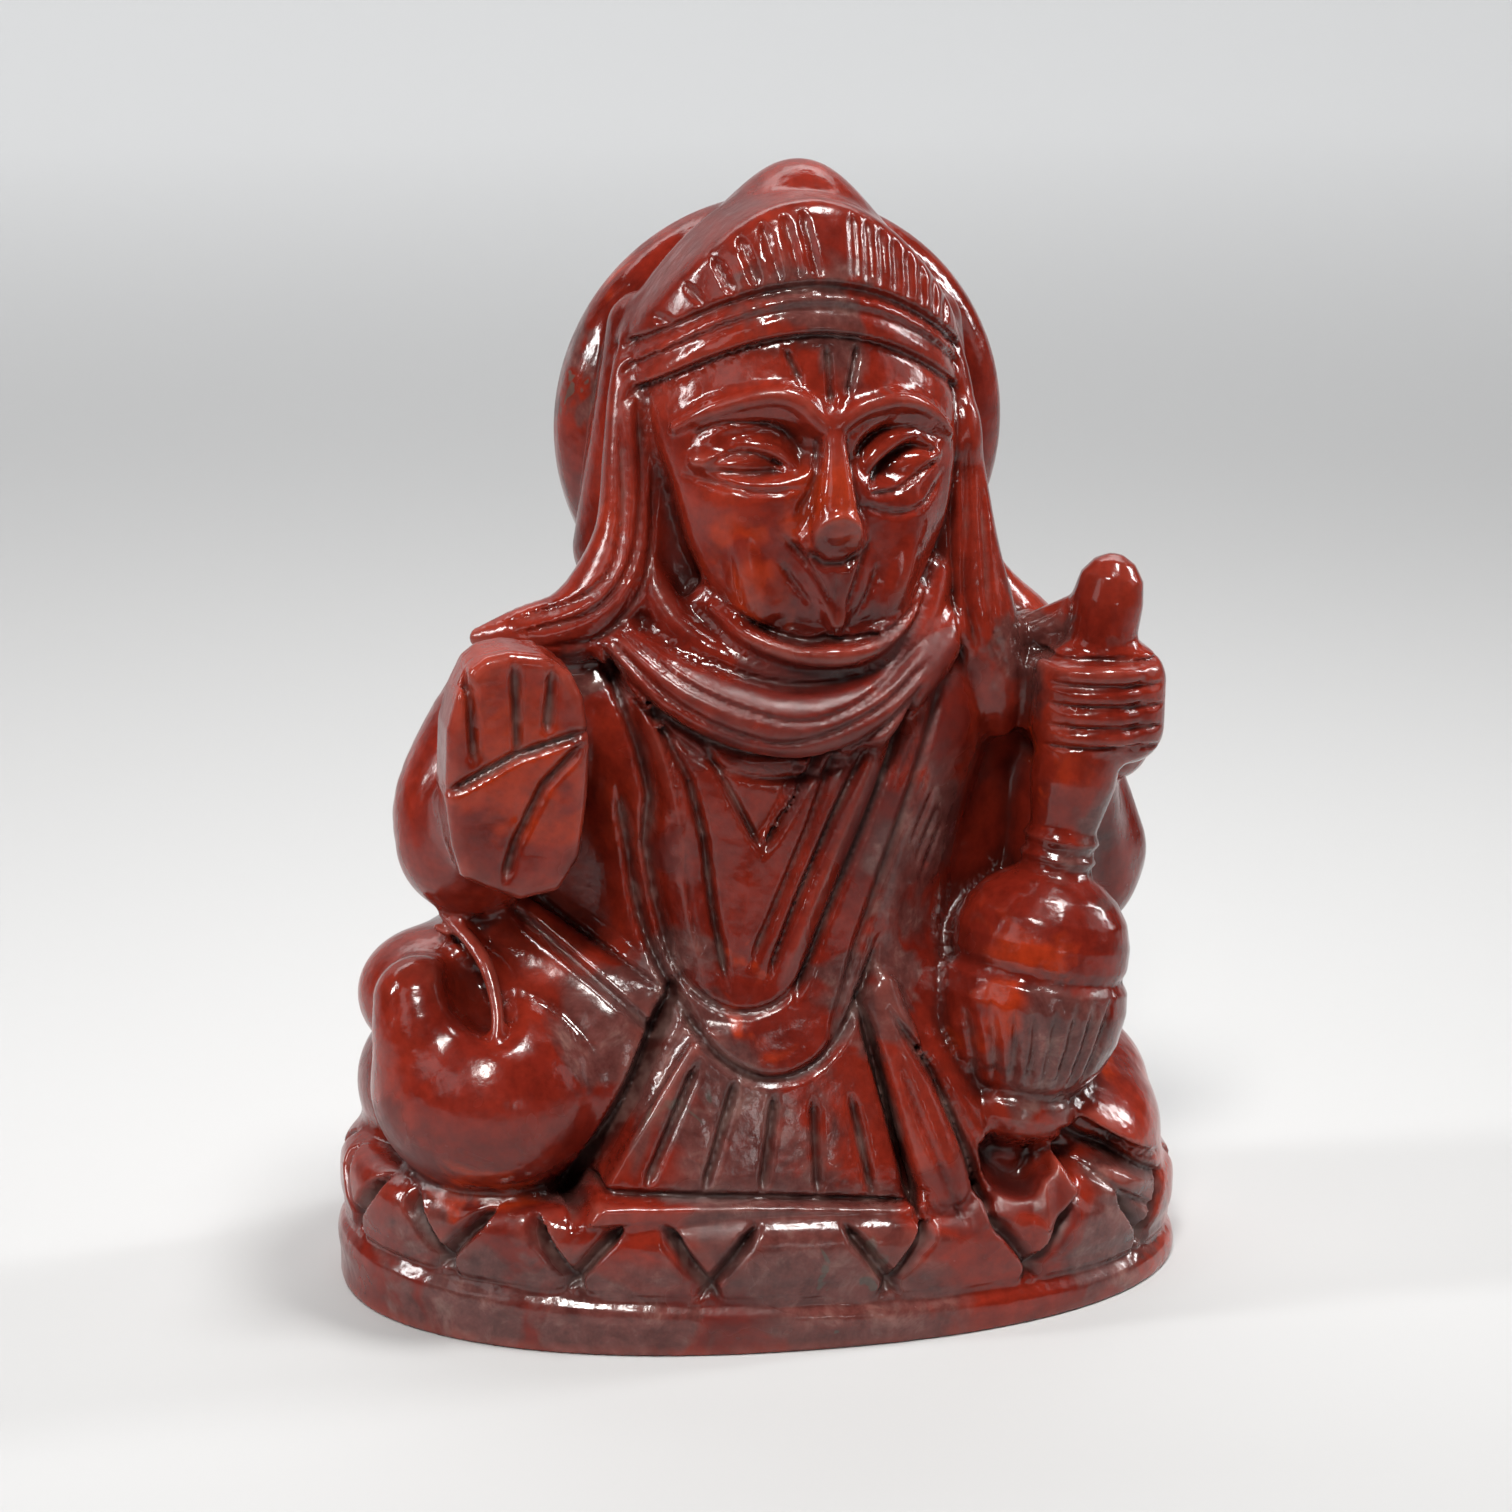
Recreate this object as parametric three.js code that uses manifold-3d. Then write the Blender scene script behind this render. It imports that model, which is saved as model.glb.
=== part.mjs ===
// A seated hanuman figure carved together with its petal plinth from one block of stone.
// The block is shaped as a field of distances on a grid: forms are added and cut, strokes are scored
// into them, and the surface where the distance is nought becomes one closed mesh.
import * as THREE from "three";
import { mergeVertices } from "three/addons/utils/BufferGeometryUtils.js";
import Module from "manifold-3d";

// Driving sizes, in millimetres.
const FIGURE_HEIGHT = 92;
const PLINTH_HEIGHT = 12;
const PLINTH_WIDTH = 79.8;
const PLINTH_DEPTH = 48;

// The carving is given in parts of the figure's own height, with nought at the seat.
const PARTS_HIGH = 92;
const PART = FIGURE_HEIGHT / PARTS_HIGH;
const UNDERSIDE = -PLINTH_HEIGHT / PART;
const RIM_X = PLINTH_WIDTH / 2 / PART;
const RIM_Y = PLINTH_DEPTH / 2 / PART;
const RIM_POWER = 2.2;
const PLINTH_PARTS = 12;

// Fineness of the grid and of the finished mesh, and the wheel that works between the forms.
const GRAIN = 0.66;
const REACH = 2.2;
const WHEEL = 1.1;
const TRIANGLES = 9500;

// Stone.
const STONE_COLOUR = 0x7d241c;
const STONE_ROUGHNESS = 0.25;

// SMOOTH JOINS

function softMin(a, b, blend) {
  if (blend <= 0) return Math.min(a, b);
  const near = Math.max(blend - Math.abs(a - b), 0);
  return Math.min(a, b) - (near * near) / (4 * blend);
}

function softMax(a, b, blend) {
  return -softMin(-a, -b, blend);
}

// A smooth run through a few points, whatever numbers each point holds.
function smooth(points, steps) {
  const ghost = (a, b) => a.map((value, i) => 2 * value - b[i]);
  const last = points.length - 1;
  const run = [ghost(points[0], points[1]), ...points, ghost(points[last], points[last - 1])];
  const out = [];
  for (let i = 1; i <= last; i++) {
    const [a, b, c, d] = run.slice(i - 1, i + 3);
    for (let step = 0; step < steps; step++) {
      const t = step / steps;
      out.push(b.map((value, k) => 0.5 * (2 * value + (c[k] - a[k]) * t
        + (2 * a[k] - 5 * value + 4 * c[k] - d[k]) * t * t
        + (3 * value - a[k] - 3 * c[k] + d[k]) * t ** 3)));
    }
  }
  out.push(points[last]);
  return out;
}

// The value at z between rows of [z, value].
function between(rows, z) {
  if (z <= rows[0][0]) return rows[0][1];
  for (let i = 1; i < rows.length; i++) {
    const [low, high] = [rows[i - 1], rows[i]];
    if (z < high[0]) return low[1] + ((high[1] - low[1]) * (z - low[0])) / (high[0] - low[0]);
  }
  return rows[rows.length - 1][1];
}

// FORMS
// Each form is a distance, below nought inside, with the corners of its box.

function ball(c, r) {
  const far = (x, y, z) => {
    const u = (x - c[0]) / r[0];
    const v = (y - c[1]) / r[1];
    const w = (z - c[2]) / r[2];
    const reach = Math.sqrt(u * u + v * v + w * w) + 1e-6;
    const slope = Math.sqrt((u / r[0]) ** 2 + (v / r[1]) ** 2 + (w / r[2]) ** 2) + 1e-6;
    return (reach * (reach - 1)) / slope;
  };
  return { far, low: c.map((v, i) => v - r[i]), high: c.map((v, i) => v + r[i]) };
}

// A rounded limb from a to b, each given as x, y, z and radius.
function limb(a, b) {
  const [dx, dy, dz, dr] = b.map((v, i) => v - a[i]);
  const square = dx * dx + dy * dy + dz * dz;
  const far = (x, y, z) => {
    const [px, py, pz] = [x - a[0], y - a[1], z - a[2]];
    const t = Math.min(1, Math.max(0, (px * dx + py * dy + pz * dz) / square));
    const reach = Math.sqrt((px - t * dx) ** 2 + (py - t * dy) ** 2 + (pz - t * dz) ** 2);
    return reach - (a[3] + dr * t);
  };
  const most = Math.max(a[3], b[3]);
  const low = [0, 1, 2].map((i) => Math.min(a[i], b[i]) - most);
  const high = [0, 1, 2].map((i) => Math.max(a[i], b[i]) + most);
  return { far, low, high };
}

// Limbs in a smooth row.
function rope(points, steps) {
  const run = smooth(points, steps);
  const limbs = run.slice(1).map((end, i) => limb(run[i], end));
  const far = (x, y, z) => {
    let least = 1e6;
    for (const one of limbs) least = Math.min(least, one.far(x, y, z));
    return least;
  };
  const low = [0, 1, 2].map((i) => Math.min(...limbs.map((one) => one.low[i])));
  const high = [0, 1, 2].map((i) => Math.max(...limbs.map((one) => one.high[i])));
  return { far, low, high };
}

// Two distances joined as a rounded edge.
function roundedEdge(a, b, r) {
  return Math.hypot(Math.max(a + r, 0), Math.max(b + r, 0)) + Math.min(Math.max(a, b) + r, 0) - r;
}

function block(c, half, r) {
  const far = (x, y, z) => {
    const a = Math.abs(x - c[0]) - half[0] + r;
    const b = Math.abs(y - c[1]) - half[1] + r;
    const d = Math.abs(z - c[2]) - half[2] + r;
    const outside = Math.sqrt(Math.max(a, 0) ** 2 + Math.max(b, 0) ** 2 + Math.max(d, 0) ** 2);
    return outside + Math.min(Math.max(a, b, d), 0) - r;
  };
  return { far, low: c.map((v, i) => v - half[i]), high: c.map((v, i) => v + half[i]) };
}

// Distance to a closed outline, below nought inside.
function outlineFar(points, u, v) {
  let least = 1e9;
  let inside = false;
  for (let i = 0; i < points.length; i++) {
    const a = points[i];
    const b = points[(i + 1) % points.length];
    const [ex, ey, wx, wy] = [b[0] - a[0], b[1] - a[1], u - a[0], v - a[1]];
    const t = Math.min(1, Math.max(0, (wx * ex + wy * ey) / (ex * ex + ey * ey + 1e-12)));
    least = Math.min(least, (wx - ex * t) ** 2 + (wy - ey * t) ** 2);
    if (a[1] <= v !== b[1] <= v && (ex * wy > ey * wx) === b[1] > a[1]) inside = !inside;
  }
  return (inside ? -1 : 1) * Math.sqrt(least);
}

// An outline seen from the front, given from front to back a thickness with round edges.
function plate(outline, front, back, r) {
  const middle = (front + back) / 2;
  const half = (back - front) / 2;
  const far = (x, y, z) => roundedEdge(outlineFar(outline, x, z), Math.abs(y - middle) - half, r);
  const ends = (pick) => [0, 1].map((i) => pick(...outline.map((p) => p[i])));
  const [low, high] = [ends(Math.min), ends(Math.max)];
  return { far, low: [low[0], front, low[1]], high: [high[0], back, high[1]] };
}

// An oval plate that faces the front.
function disc(c, across, up, half, r) {
  const far = (x, y, z) => {
    const u = (x - c[0]) / across;
    const w = (z - c[2]) / up;
    const reach = Math.sqrt(u * u + w * w) + 1e-6;
    const slope = Math.sqrt((u / across) ** 2 + (w / up) ** 2) + 1e-6;
    return roundedEdge((reach * (reach - 1)) / slope, Math.abs(y - c[1]) - half, r);
  };
  const size = [across, half, up];
  return { far, low: c.map((v, i) => v - size[i]), high: c.map((v, i) => v + size[i]) };
}

// A turned form on the line from foot towards head: rows of distance along it and radius.
function turned(foot, head, rows) {
  const from = new THREE.Vector3(...foot);
  const axis = new THREE.Vector3(...head).sub(from).normalize();
  const outline = [...rows, ...rows.map(([along, radius]) => [along, -radius]).reverse()];
  const far = (x, y, z) => {
    const [px, py, pz] = [x - foot[0], y - foot[1], z - foot[2]];
    const along = px * axis.x + py * axis.y + pz * axis.z;
    const radius = Math.sqrt(Math.max(px * px + py * py + pz * pz - along * along, 0));
    return outlineFar(outline, along, radius);
  };
  const widest = Math.max(...rows.map((row) => row[1]));
  const tip = from.clone().addScaledVector(axis, rows[rows.length - 1][0]).toArray();
  const low = foot.map((v, i) => Math.min(v, tip[i]) - widest);
  const high = foot.map((v, i) => Math.max(v, tip[i]) + widest);
  return { far, low, high };
}

// Oval sections one above another: rows of z, centre x, centre y, half width, half depth.
function stack(rows, steps, blend) {
  const run = smooth(rows, steps);
  const top = rows[rows.length - 1][0];
  const bottom = rows[0][0];
  const column = (i) => run.map((row) => [row[0], row[i]]);
  const [centreX, centreY, halfX, halfY] = [1, 2, 3, 4].map(column);
  const far = (x, y, z) => {
    const [rx, ry] = [between(halfX, z), between(halfY, z)];
    const u = (x - between(centreX, z)) / rx;
    const v = (y - between(centreY, z)) / ry;
    const reach = Math.sqrt(u * u + v * v) + 1e-6;
    const slope = Math.sqrt((u / rx) ** 2 + (v / ry) ** 2) + 1e-6;
    return softMax((reach * (reach - 1)) / slope, Math.max(z - top, bottom - z), blend);
  };
  const least = (i, sign) => Math.min(...run.map((row) => row[i] + sign * row[i + 2]));
  const most = (i, sign) => Math.max(...run.map((row) => row[i] + sign * row[i + 2]));
  return { far, low: [least(1, -1), least(2, -1), bottom], high: [most(1, 1), most(2, 1), top] };
}

// A form leaning sideways by some degrees, toward the right hand side.
function lean(form, pivot, degrees) {
  const [cos, sin] = [Math.cos(degrees * Math.PI / 180), Math.sin(degrees * Math.PI / 180)];
  const far = (x, y, z) => {
    const [u, w] = [x - pivot[0], z - pivot[2]];
    return form.far(pivot[0] + cos * u - sin * w, y, pivot[2] + sin * u + cos * w);
  };
  const corners = [0, 1, 2, 3].map((i) => {
    const u = (i & 1 ? form.high : form.low)[0] - pivot[0];
    const w = (i & 2 ? form.high : form.low)[2] - pivot[2];
    return [pivot[0] + cos * u + sin * w, pivot[2] - sin * u + cos * w];
  });
  const ends = (pick, i) => pick(...corners.map((corner) => corner[i]));
  const low = [ends(Math.min, 0), form.low[1], ends(Math.min, 1)];
  const high = [ends(Math.max, 0), form.high[1], ends(Math.max, 1)];
  return { far, low, high };
}

// A form kept only where the test is below nought.
function only(form, test, blend) {
  const far = (x, y, z) => softMax(form.far(x, y, z), test(x, y, z), blend);
  return { far, low: form.low, high: form.high };
}

// Whole numbers from nought, so many of them.
const count = (many) => Array.from({ length: many }, (unused, i) => i);

// STROKES

// Ways of drawing on the stone: each gives two flat coordinates for a place on it.
const FRONT = (x, y, z) => [x, z];

// Nearness to a line of points: distance from it, distance along it, and its length.
function nearLine(points, u, v) {
  let [least, along, length] = [1e6, 0, 0];
  for (let i = 1; i < points.length; i++) {
    const a = points[i - 1];
    const [dx, dy] = [points[i][0] - a[0], points[i][1] - a[1]];
    const long = Math.hypot(dx, dy);
    const t = Math.min(1, Math.max(0, ((u - a[0]) * dx + (v - a[1]) * dy) / (long * long)));
    const off = Math.hypot(u - a[0] - t * dx, v - a[1] - t * dy);
    if (off < least) {
      least = off;
      along = length + t * long;
    }
    length += long;
  }
  return [least, along, length];
}

// How deep a set of strokes cuts at a place. A stroke is its points, half width, depth and the
// length of its pointed ends; a depth below nought raises a ridge instead. No stroke is narrower
// than the grid can hold.
const NARROWEST = 1.1 * GRAIN;

function strokeDepth(strokes, u, v) {
  let deepest = 0;
  for (const [points, half, depth, taper] of strokes) {
    const [off, along, length] = nearLine(points, u, v);
    const full = Math.min(1, Math.min(along, length - along) / taper + 0.12);
    const wide = Math.max(half, NARROWEST) * (0.45 + 0.55 * full);
    const depthHere = depth * full * Math.max(0, 1 - off / wide);
    if (Math.abs(depthHere) > Math.abs(deepest)) deepest = depthHere;
  }
  return deepest;
}

// THE GRID

class Clay {
  constructor(low, high, grain) {
    this.low = low;
    this.grain = grain;
    this.count = low.map((v, i) => Math.round((high[i] - v) / grain) + 1);
    this.field = new Float32Array(this.count[0] * this.count[1] * this.count[2]).fill(REACH);
  }

  // Calls visit with the index and place of each grid point in a box.
  within(low, high, margin, visit) {
    const first = low.map((v, i) => Math.max(0, Math.floor((v - margin - this.low[i]) / this.grain)));
    const last = high.map((v, i) =>
      Math.min(this.count[i] - 1, Math.ceil((v + margin - this.low[i]) / this.grain)));
    const [, ny, nz] = this.count;
    for (let i = first[0]; i <= last[0]; i++) {
      const x = this.low[0] + i * this.grain;
      for (let k = first[2]; k <= last[2]; k++) {
        const z = this.low[2] + k * this.grain;
        for (let j = first[1]; j <= last[1]; j++) {
          visit((i * ny + j) * nz + k, x, this.low[1] + j * this.grain, z);
        }
      }
    }
  }

  add(form, blend) {
    this.within(form.low, form.high, REACH + blend, (at, x, y, z) => {
      this.field[at] = softMin(this.field[at], form.far(x, y, z), blend);
    });
  }

  cut(form, blend) {
    this.within(form.low, form.high, blend + 0.5, (at, x, y, z) => {
      this.field[at] = softMax(this.field[at], -form.far(x, y, z), blend);
    });
  }

  // Scores strokes into the surface inside a box. Seen from the front, depth is worked out once a column.
  score(strokes, plane, low, high) {
    let [lastX, lastZ, depth] = [null, null, 0];
    this.within(low, high, 0, (at, x, y, z) => {
      if (plane === FRONT) {
        if (x !== lastX || z !== lastZ) depth = strokeDepth(strokes, x, z);
        [lastX, lastZ] = [x, z];
      } else {
        depth = Math.abs(this.field[at]) < REACH ? strokeDepth(strokes, ...plane(x, y, z)) : 0;
      }
      this.field[at] += depth;
    });
  }

  // Fills crevices too narrow for a wheel of this radius: the stone is grown by it, then shrunk.
  close(radius) {
    const [nx, ny, nz] = this.count;
    const most = Math.floor(radius / this.grain);
    const span = Array.from({ length: 2 * most + 1 }, (unused, i) => i - most);
    const shifts = span.flatMap((i) => span.flatMap((j) => span.map((k) => [i, j, k])))
      .filter(([i, j, k]) => Math.hypot(i, j, k) * this.grain <= radius)
      .map(([i, j, k]) => (i * ny + j) * nz + k);
    const edge = (most * ny + most) * nz + most;
    for (const pick of [Math.min, Math.max]) {
      const source = this.field.slice();
      for (let at = edge; at < nx * ny * nz - edge; at++) {
        let value = source[at];
        for (const shift of shifts) value = pick(value, source[at + shift]);
        this.field[at] = value;
      }
    }
  }
}

// Stands in for the clay to find how far the forms reach.
class Tape {
  constructor() {
    this.low = [0, 0, 0];
    this.high = [0, 0, 0];
  }

  add(form) {
    this.low = this.low.map((v, i) => Math.min(v, form.low[i]));
    this.high = this.high.map((v, i) => Math.max(v, form.high[i]));
  }

  cut() {}
}

// THE PLINTH

// Distance to the plinth's rim, seen from above.
function rimFar(x, y) {
  const [u, v] = [Math.abs(x / RIM_X) + 1e-9, Math.abs(y / RIM_Y) + 1e-9];
  const reach = (u ** RIM_POWER + v ** RIM_POWER) ** (1 / RIM_POWER);
  const [slopeX, slopeY] = [u ** (RIM_POWER - 1) / RIM_X, v ** (RIM_POWER - 1) / RIM_Y];
  return (reach - 1) / (Math.hypot(slopeX, slopeY) * reach ** (1 - RIM_POWER) + 1e-9);
}

// The rim measured along its edge, from the middle of the front toward the right hand side.
const RIM_STEPS = 180;
const rimRun = [[0, 0]];
function rimPoint(angle) {
  const share = 2 / RIM_POWER;
  const [across, back] = [Math.sin(angle), Math.cos(angle)];
  return [RIM_X * across ** share, RIM_Y * Math.abs(back) ** share * Math.sign(back)];
}
for (let i = 1; i <= RIM_STEPS; i++) {
  const [from, to] = [i - 1, i].map((step) => rimPoint((step / RIM_STEPS) * Math.PI));
  const step = Math.hypot(to[0] - from[0], to[1] - from[1]);
  rimRun.push([(i / RIM_STEPS) * Math.PI, rimRun[i - 1][1] + step]);
}
const HALF_RIM = rimRun[RIM_STEPS][1];

// The petals fall away a little toward the right hand side. Their levels are given for a plinth
// that is PLINTH_PARTS high, and DEEP fits them to its real height.
const DEEP = -UNDERSIDE / PLINTH_PARTS;
const PETAL_FALL = 0.043;
const PETALS = [[-10.2, -12.4, 8], [6.9, 14.6, 7]];
const GROOVE = -7.5 * DEEP;
const MOULDING = -9.6 * DEEP;

// Drawing round the rim: along it from the middle of the front, and up from the petals' level.
function AT_PETALS(x, y, z) {
  const across = Math.abs(x / RIM_X) ** (RIM_POWER / 2);
  const back = Math.sign(-y) * Math.abs(y / RIM_Y) ** (RIM_POWER / 2);
  return [Math.sign(x) * between(rimRun, Math.atan2(across, back)), z + PETAL_FALL * x];
}

const bump = (z, middle, wide) => Math.exp(-(((z - middle) / wide) ** 2));

function shapePlinth(clay) {
  const far = (x, y, z) => {
    const level = z + PETAL_FALL * x;
    const worn = 0.8 * bump(level, GROOVE, 0.6) + 0.35 * bump(level, GROOVE + 1.4, 0.9);
    const swell = 0.15 + 0.25 * bump(level, MOULDING, 1.2) - worn;
    const side = softMax(rimFar(x, y) - swell, level - 0.2, 3.4);
    return Math.max(side, UNDERSIDE - 0.9 - z);
  };
  const low = [-RIM_X - 0.5, -RIM_Y - 0.5, UNDERSIDE - 0.9];
  clay.add({ far, low, high: [RIM_X + 0.5, RIM_Y + 0.5, 2.2] }, 0);
}

// Petals: pairs of crossing cuts, wider apart at the middle of the front. They are spaced for a rim
// of this half length and stretch with it.
const RIM_PARTS = 104;

function scorePetals(clay) {
  const stretch = HALF_RIM / RIM_PARTS;
  const [top, foot] = [-0.4 * DEEP, -7.2 * DEEP];
  const cuts = [];
  for (const [first, pitch, count] of PETALS) {
    for (let i = 0; i < count; i++) {
      const s = (first + i * pitch) * stretch;
      cuts.push([[[s - 4.4, top], [s + 1.2, foot]], 0.95, 1.4, 1.8]);
      cuts.push([[[s + 4.4, top], [s - 1.2, foot]], 0.95, 1.4, 1.8]);
    }
  }
  clay.score(cuts, AT_PETALS, [-RIM_X - 1, -RIM_Y - 1, -10 * DEEP], [RIM_X + 1, RIM_Y + 1, 3]);
}

// BODY AND LEGS

function shapeBody(clay) {
  clay.add(stack([[-1.5, 0, 1.5, 33, 17], [4, 0, 1.5, 34, 18], [9, 0, 1, 31, 17.4],
                  [15, 0, 0, 25, 16.5], [21, 0, 0, 19, 15]], 4, 3), 1);
  clay.add(stack([[4, -1.5, 0, 20, 17], [14, -1, -0.6, 18, 16.4], [22, -0.5, -0.6, 17.2, 15.6],
                  [30, 0, -0.5, 17.5, 15.2], [38, 0.4, -0.3, 19.5, 15], [44, 0.5, 0, 21, 14],
                  [49, 0.8, 0.3, 19, 12.5], [54, 1, 0.5, 13, 11]], 4, 3), 3);
  clay.add(stack([[6, 0, 3, 29, 12], [18, 0.5, 3, 28, 11.5], [28, 0.5, 3, 27.5, 10.5],
                  [38, 0.5, 3, 24, 10.5], [47, 1, 2.5, 19, 10]], 4, 3), 2);
  clay.cut(plate([[-9.1, 43.6], [-3.9, 33.0], [1.4, 43.6]], -22, -14.0, 0.2), 0.3);
}

function shapeRoundKnee(clay) {
  clay.add(ball([-25, 0.5, 12.6], [11.3, 12, 11.4]), 1.6);
  clay.add(ball([-28.8, 5, 5.4], [9.0, 10, 8.4]), 1.6);
  clay.add(ball([-31.0, -1.6, 16.5], [7.6, 7.6, 6.2]), 1.2);
  clay.add(limb([-25.5, -3.5, 20.5, 5.6], [-16, -9, 15.5, 5.2]), 2.2);
  clay.add(ball([-27.4, -8.4, 9.6], [10.9, 11.4, 9.6]), 0.6);
  clay.add(rope([[-32.6, -10.0, 11.0, 5.6], [-33.4, -9.6, 15.0, 5.0], [-34.0, -8.6, 18.2, 4.2]]), 1.4);
  clay.cut(lean(ball([-27.4, -14.2, 20.4], [3.4, 7.4, 4.3]), [-28.4, -14.2, 17], -26), 1.3);
  clay.add(rope([[-28.2, -15.6, 15.6, 0.6], [-27.7, -13.6, 18.6, 0.6], [-28.3, -10.8, 22.0, 0.7],
                 [-29.8, -7.6, 23.8, 0.8], [-31.6, -5.8, 24.2, 0.7]], 5), 0.35);
  clay.add(ball([-16.6, -6.6, 9], [7.2, 9.6, 11.5]), 2);
}

function shapeLowKnee(clay) {
  clay.add(ball([24.4, 1.5, 3.6], [13.4, 15.5, 8.0]), 2);
  clay.add(ball([26.4, -1.4, -1.6], [11.9, 16.4, 5.4]), 0.6);
  const wedge = only(ball([25.2, -1, 0.6], [12.9, 17.9, 10.0]), (x, y, z) => 22.6 - 0.63 * x - z, 0.5);
  clay.add(wedge, 0.3);
  const corner = plate([[17.2, 0.6], [20.4, 3.4], [23.6, 3.0], [25.6, -0.4], [24.2, -1.4], [21.8, -2.6],
                        [19.4, -2.4], [17.4, -1.2]], -24, -10, 0.6);
  clay.add(only(corner, (x, y, z) => -(y + 22.2 - 0.5 * (z + 4) - 0.022 * (x - 20) ** 2), 0.6), 0.9);
}

function shapeSkirt(clay) {
  const panel = plate([[-9.8, 16.6], [4.8, 16.6], [10.6, -0.4], [-21.5, -0.4]], -24, -5, 1.0);
  const front = [[-2, 21.6], [4, 20.6], [12, 18.3], [17, 16.9]];
  const curved = only(panel, (x, y, z) => -(y + between(front, z) - 0.006 * (x + 4) ** 2), 0.8);
  clay.add(curved, 1.0);
  clay.add(plate([[-20.4, 2.4], [10.2, 0.7], [10.8, -0.7], [-21.0, 0.6]], -22.2, -8, 0.5), 0.4);
}

function shapeFoot(clay) {
  clay.add(rope([[8.5, -13, 17, 2.0], [12.5, -14.5, 9.5, 3.2], [15.8, -15.8, 3.8, 3.2],
                 [17.4, -16.8, 1.2, 2.2]], 4), 0.8);
  clay.add(rope([[7.2, -15.0, 19.0, 1.8], [9.0, -16.8, 12, 2.6], [11.2, -18.8, 5, 3.0],
                 [12.6, -20.0, 1.4, 2.3]], 5), 0.4);
  for (let toe = 0; toe < 6; toe++) {
    const knuckle = [12.2 + 0.7 * toe, -21.4 + 0.1 * toe, -2.4 + 0.45 * toe, 0.9];
    const tip = [11.6 + 0.86 * toe, -22.9 + 0.22 * toe, -4.4 + 0.58 * toe, 0.68];
    clay.add(limb(knuckle, tip), 0.2);
  }
}

// ARMS

function shapeArms(clay) {
  clay.add(rope([[-20.6, 1, 43.4, 8.2], [-24.6, 0, 39.5, 7.6], [-27.9, -1.5, 34.4, 7.2],
                 [-28.6, -3.6, 31.6, 6.7]], 4), 2);
  clay.add(rope([[-27.8, -5, 32.5, 6.2], [-26.6, -9.0, 36, 5.8], [-26.1, -10.5, 41, 5.0]], 4), 0.9);
  clay.add(rope([[21, 2, 44.4, 8.2], [25.2, 3.2, 38.5, 7.2], [29.0, 3.6, 30.5, 7.0],
                 [31.0, 3.0, 25.8, 6.7]], 4), 2);
  clay.add(rope([[30.6, 0.5, 24, 5.4], [28.6, -2, 33, 4.6], [28.4, -4.5, 42, 4.8]], 4), 1);
}

// HEAD

function shapeHead(clay) {
  clay.add(limb([1.8, 1.5, 46, 11], [1.6, 0, 56, 10.5]), 3);
  clay.add(disc([2.6, 9.6, 66.6], 21.1, 21.3, 4.6, 4.2), 0.8);
  clay.add(ball([2.0, 2.5, 74.5], [13.4, 12.4, 14.8]), 0.6);
  clay.add(ball([2.4, 2.4, 83.2], [6.6, 8.0, 8.9]), 3.0);
  clay.add(ball([1.2, 0.4, 68.0], [14.2, 11.0, 16.0]), 0.8);
  clay.add(ball([1.8, -1.4, 58.0], [10.6, 10.6, 9.6]), 2);
}

function shapeHair(clay) {
  clay.add(limb([-11.6, 3, 77, 3.4], [-13.0, 2.6, 57, 5.0]), 1.5);
  clay.add(limb([14.6, 3, 77, 3.4], [16.0, 2.4, 56, 4.6]), 1.5);
  clay.add(rope([[-11.8, 0.8, 79.5, 1.2], [-13.0, -0.6, 76, 1.7], [-13.8, -2.0, 72, 2.0],
                 [-14.1, -3.4, 67, 2.4], [-14.4, -4.6, 60, 3.0], [-16.2, -5.2, 54.4, 3.9],
                 [-19.4, -4.8, 51.6, 3.4], [-23.4, -3.8, 50.8, 2.5], [-27.4, -2.4, 50.2, 1.0]], 5),
           0.8);
  clay.add(rope([[14.6, 1.2, 79, 1.4], [15.8, -0.4, 73, 2.1], [16.6, -2.4, 64, 2.6],
                 [17.0, -4.0, 57, 3.3], [18.0, -5.0, 50.4, 3.9], [19.4, -5.6, 44.8, 3.1],
                 [20.4, -5.9, 41.2, 1.4]], 5), 0.8);
  clay.add(rope([[17.8, 0.6, 60, 2.0], [19.0, 0.6, 54.5, 2.8], [21.8, 1.2, 49.6, 3.7],
                 [25, 1.5, 45.6, 3.8]], 4), 1.5);
  clay.add(ball([16.9, -1.8, 66.6], [2.0, 3.2, 5.0]), 0.3);
}

function shapeScarf(clay) {
  clay.add(rope([[-13.2, -6.6, 56.4, 1.6], [-10.0, -9.8, 51.6, 1.7], [-4.6, -12.4, 48.9, 1.8],
                 [1.2, -13.2, 48.0, 1.8], [7.0, -12.2, 48.9, 1.8], [11.6, -9.2, 51.8, 1.6],
                 [13.6, -6.6, 55.6, 1.4]], 5), 0.6);
  clay.add(rope([[-18.4, -4.6, 52.4, 1.8], [-14.0, -9.6, 49.2, 2.5], [-8.2, -13.4, 46.0, 2.9],
                 [-1.0, -15.2, 44.3, 3.1], [6.0, -14.0, 45.6, 2.9], [12.0, -10.2, 48.8, 2.4],
                 [16.0, -6.0, 52.0, 1.8]], 5), 0.5);
}

// Arcs that cross the forehead: under the headband, under the tiara, and the tiara's crest.
const browLine = (x) => 78.8 - 0.029 * (x - 0.8) ** 2;
const cordLine = (x) => 83.0 - 0.030 * (x - 0.8) ** 2;
const crestLine = (x) => 90.1 - 0.052 * (x - 1.2) ** 2;

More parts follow.
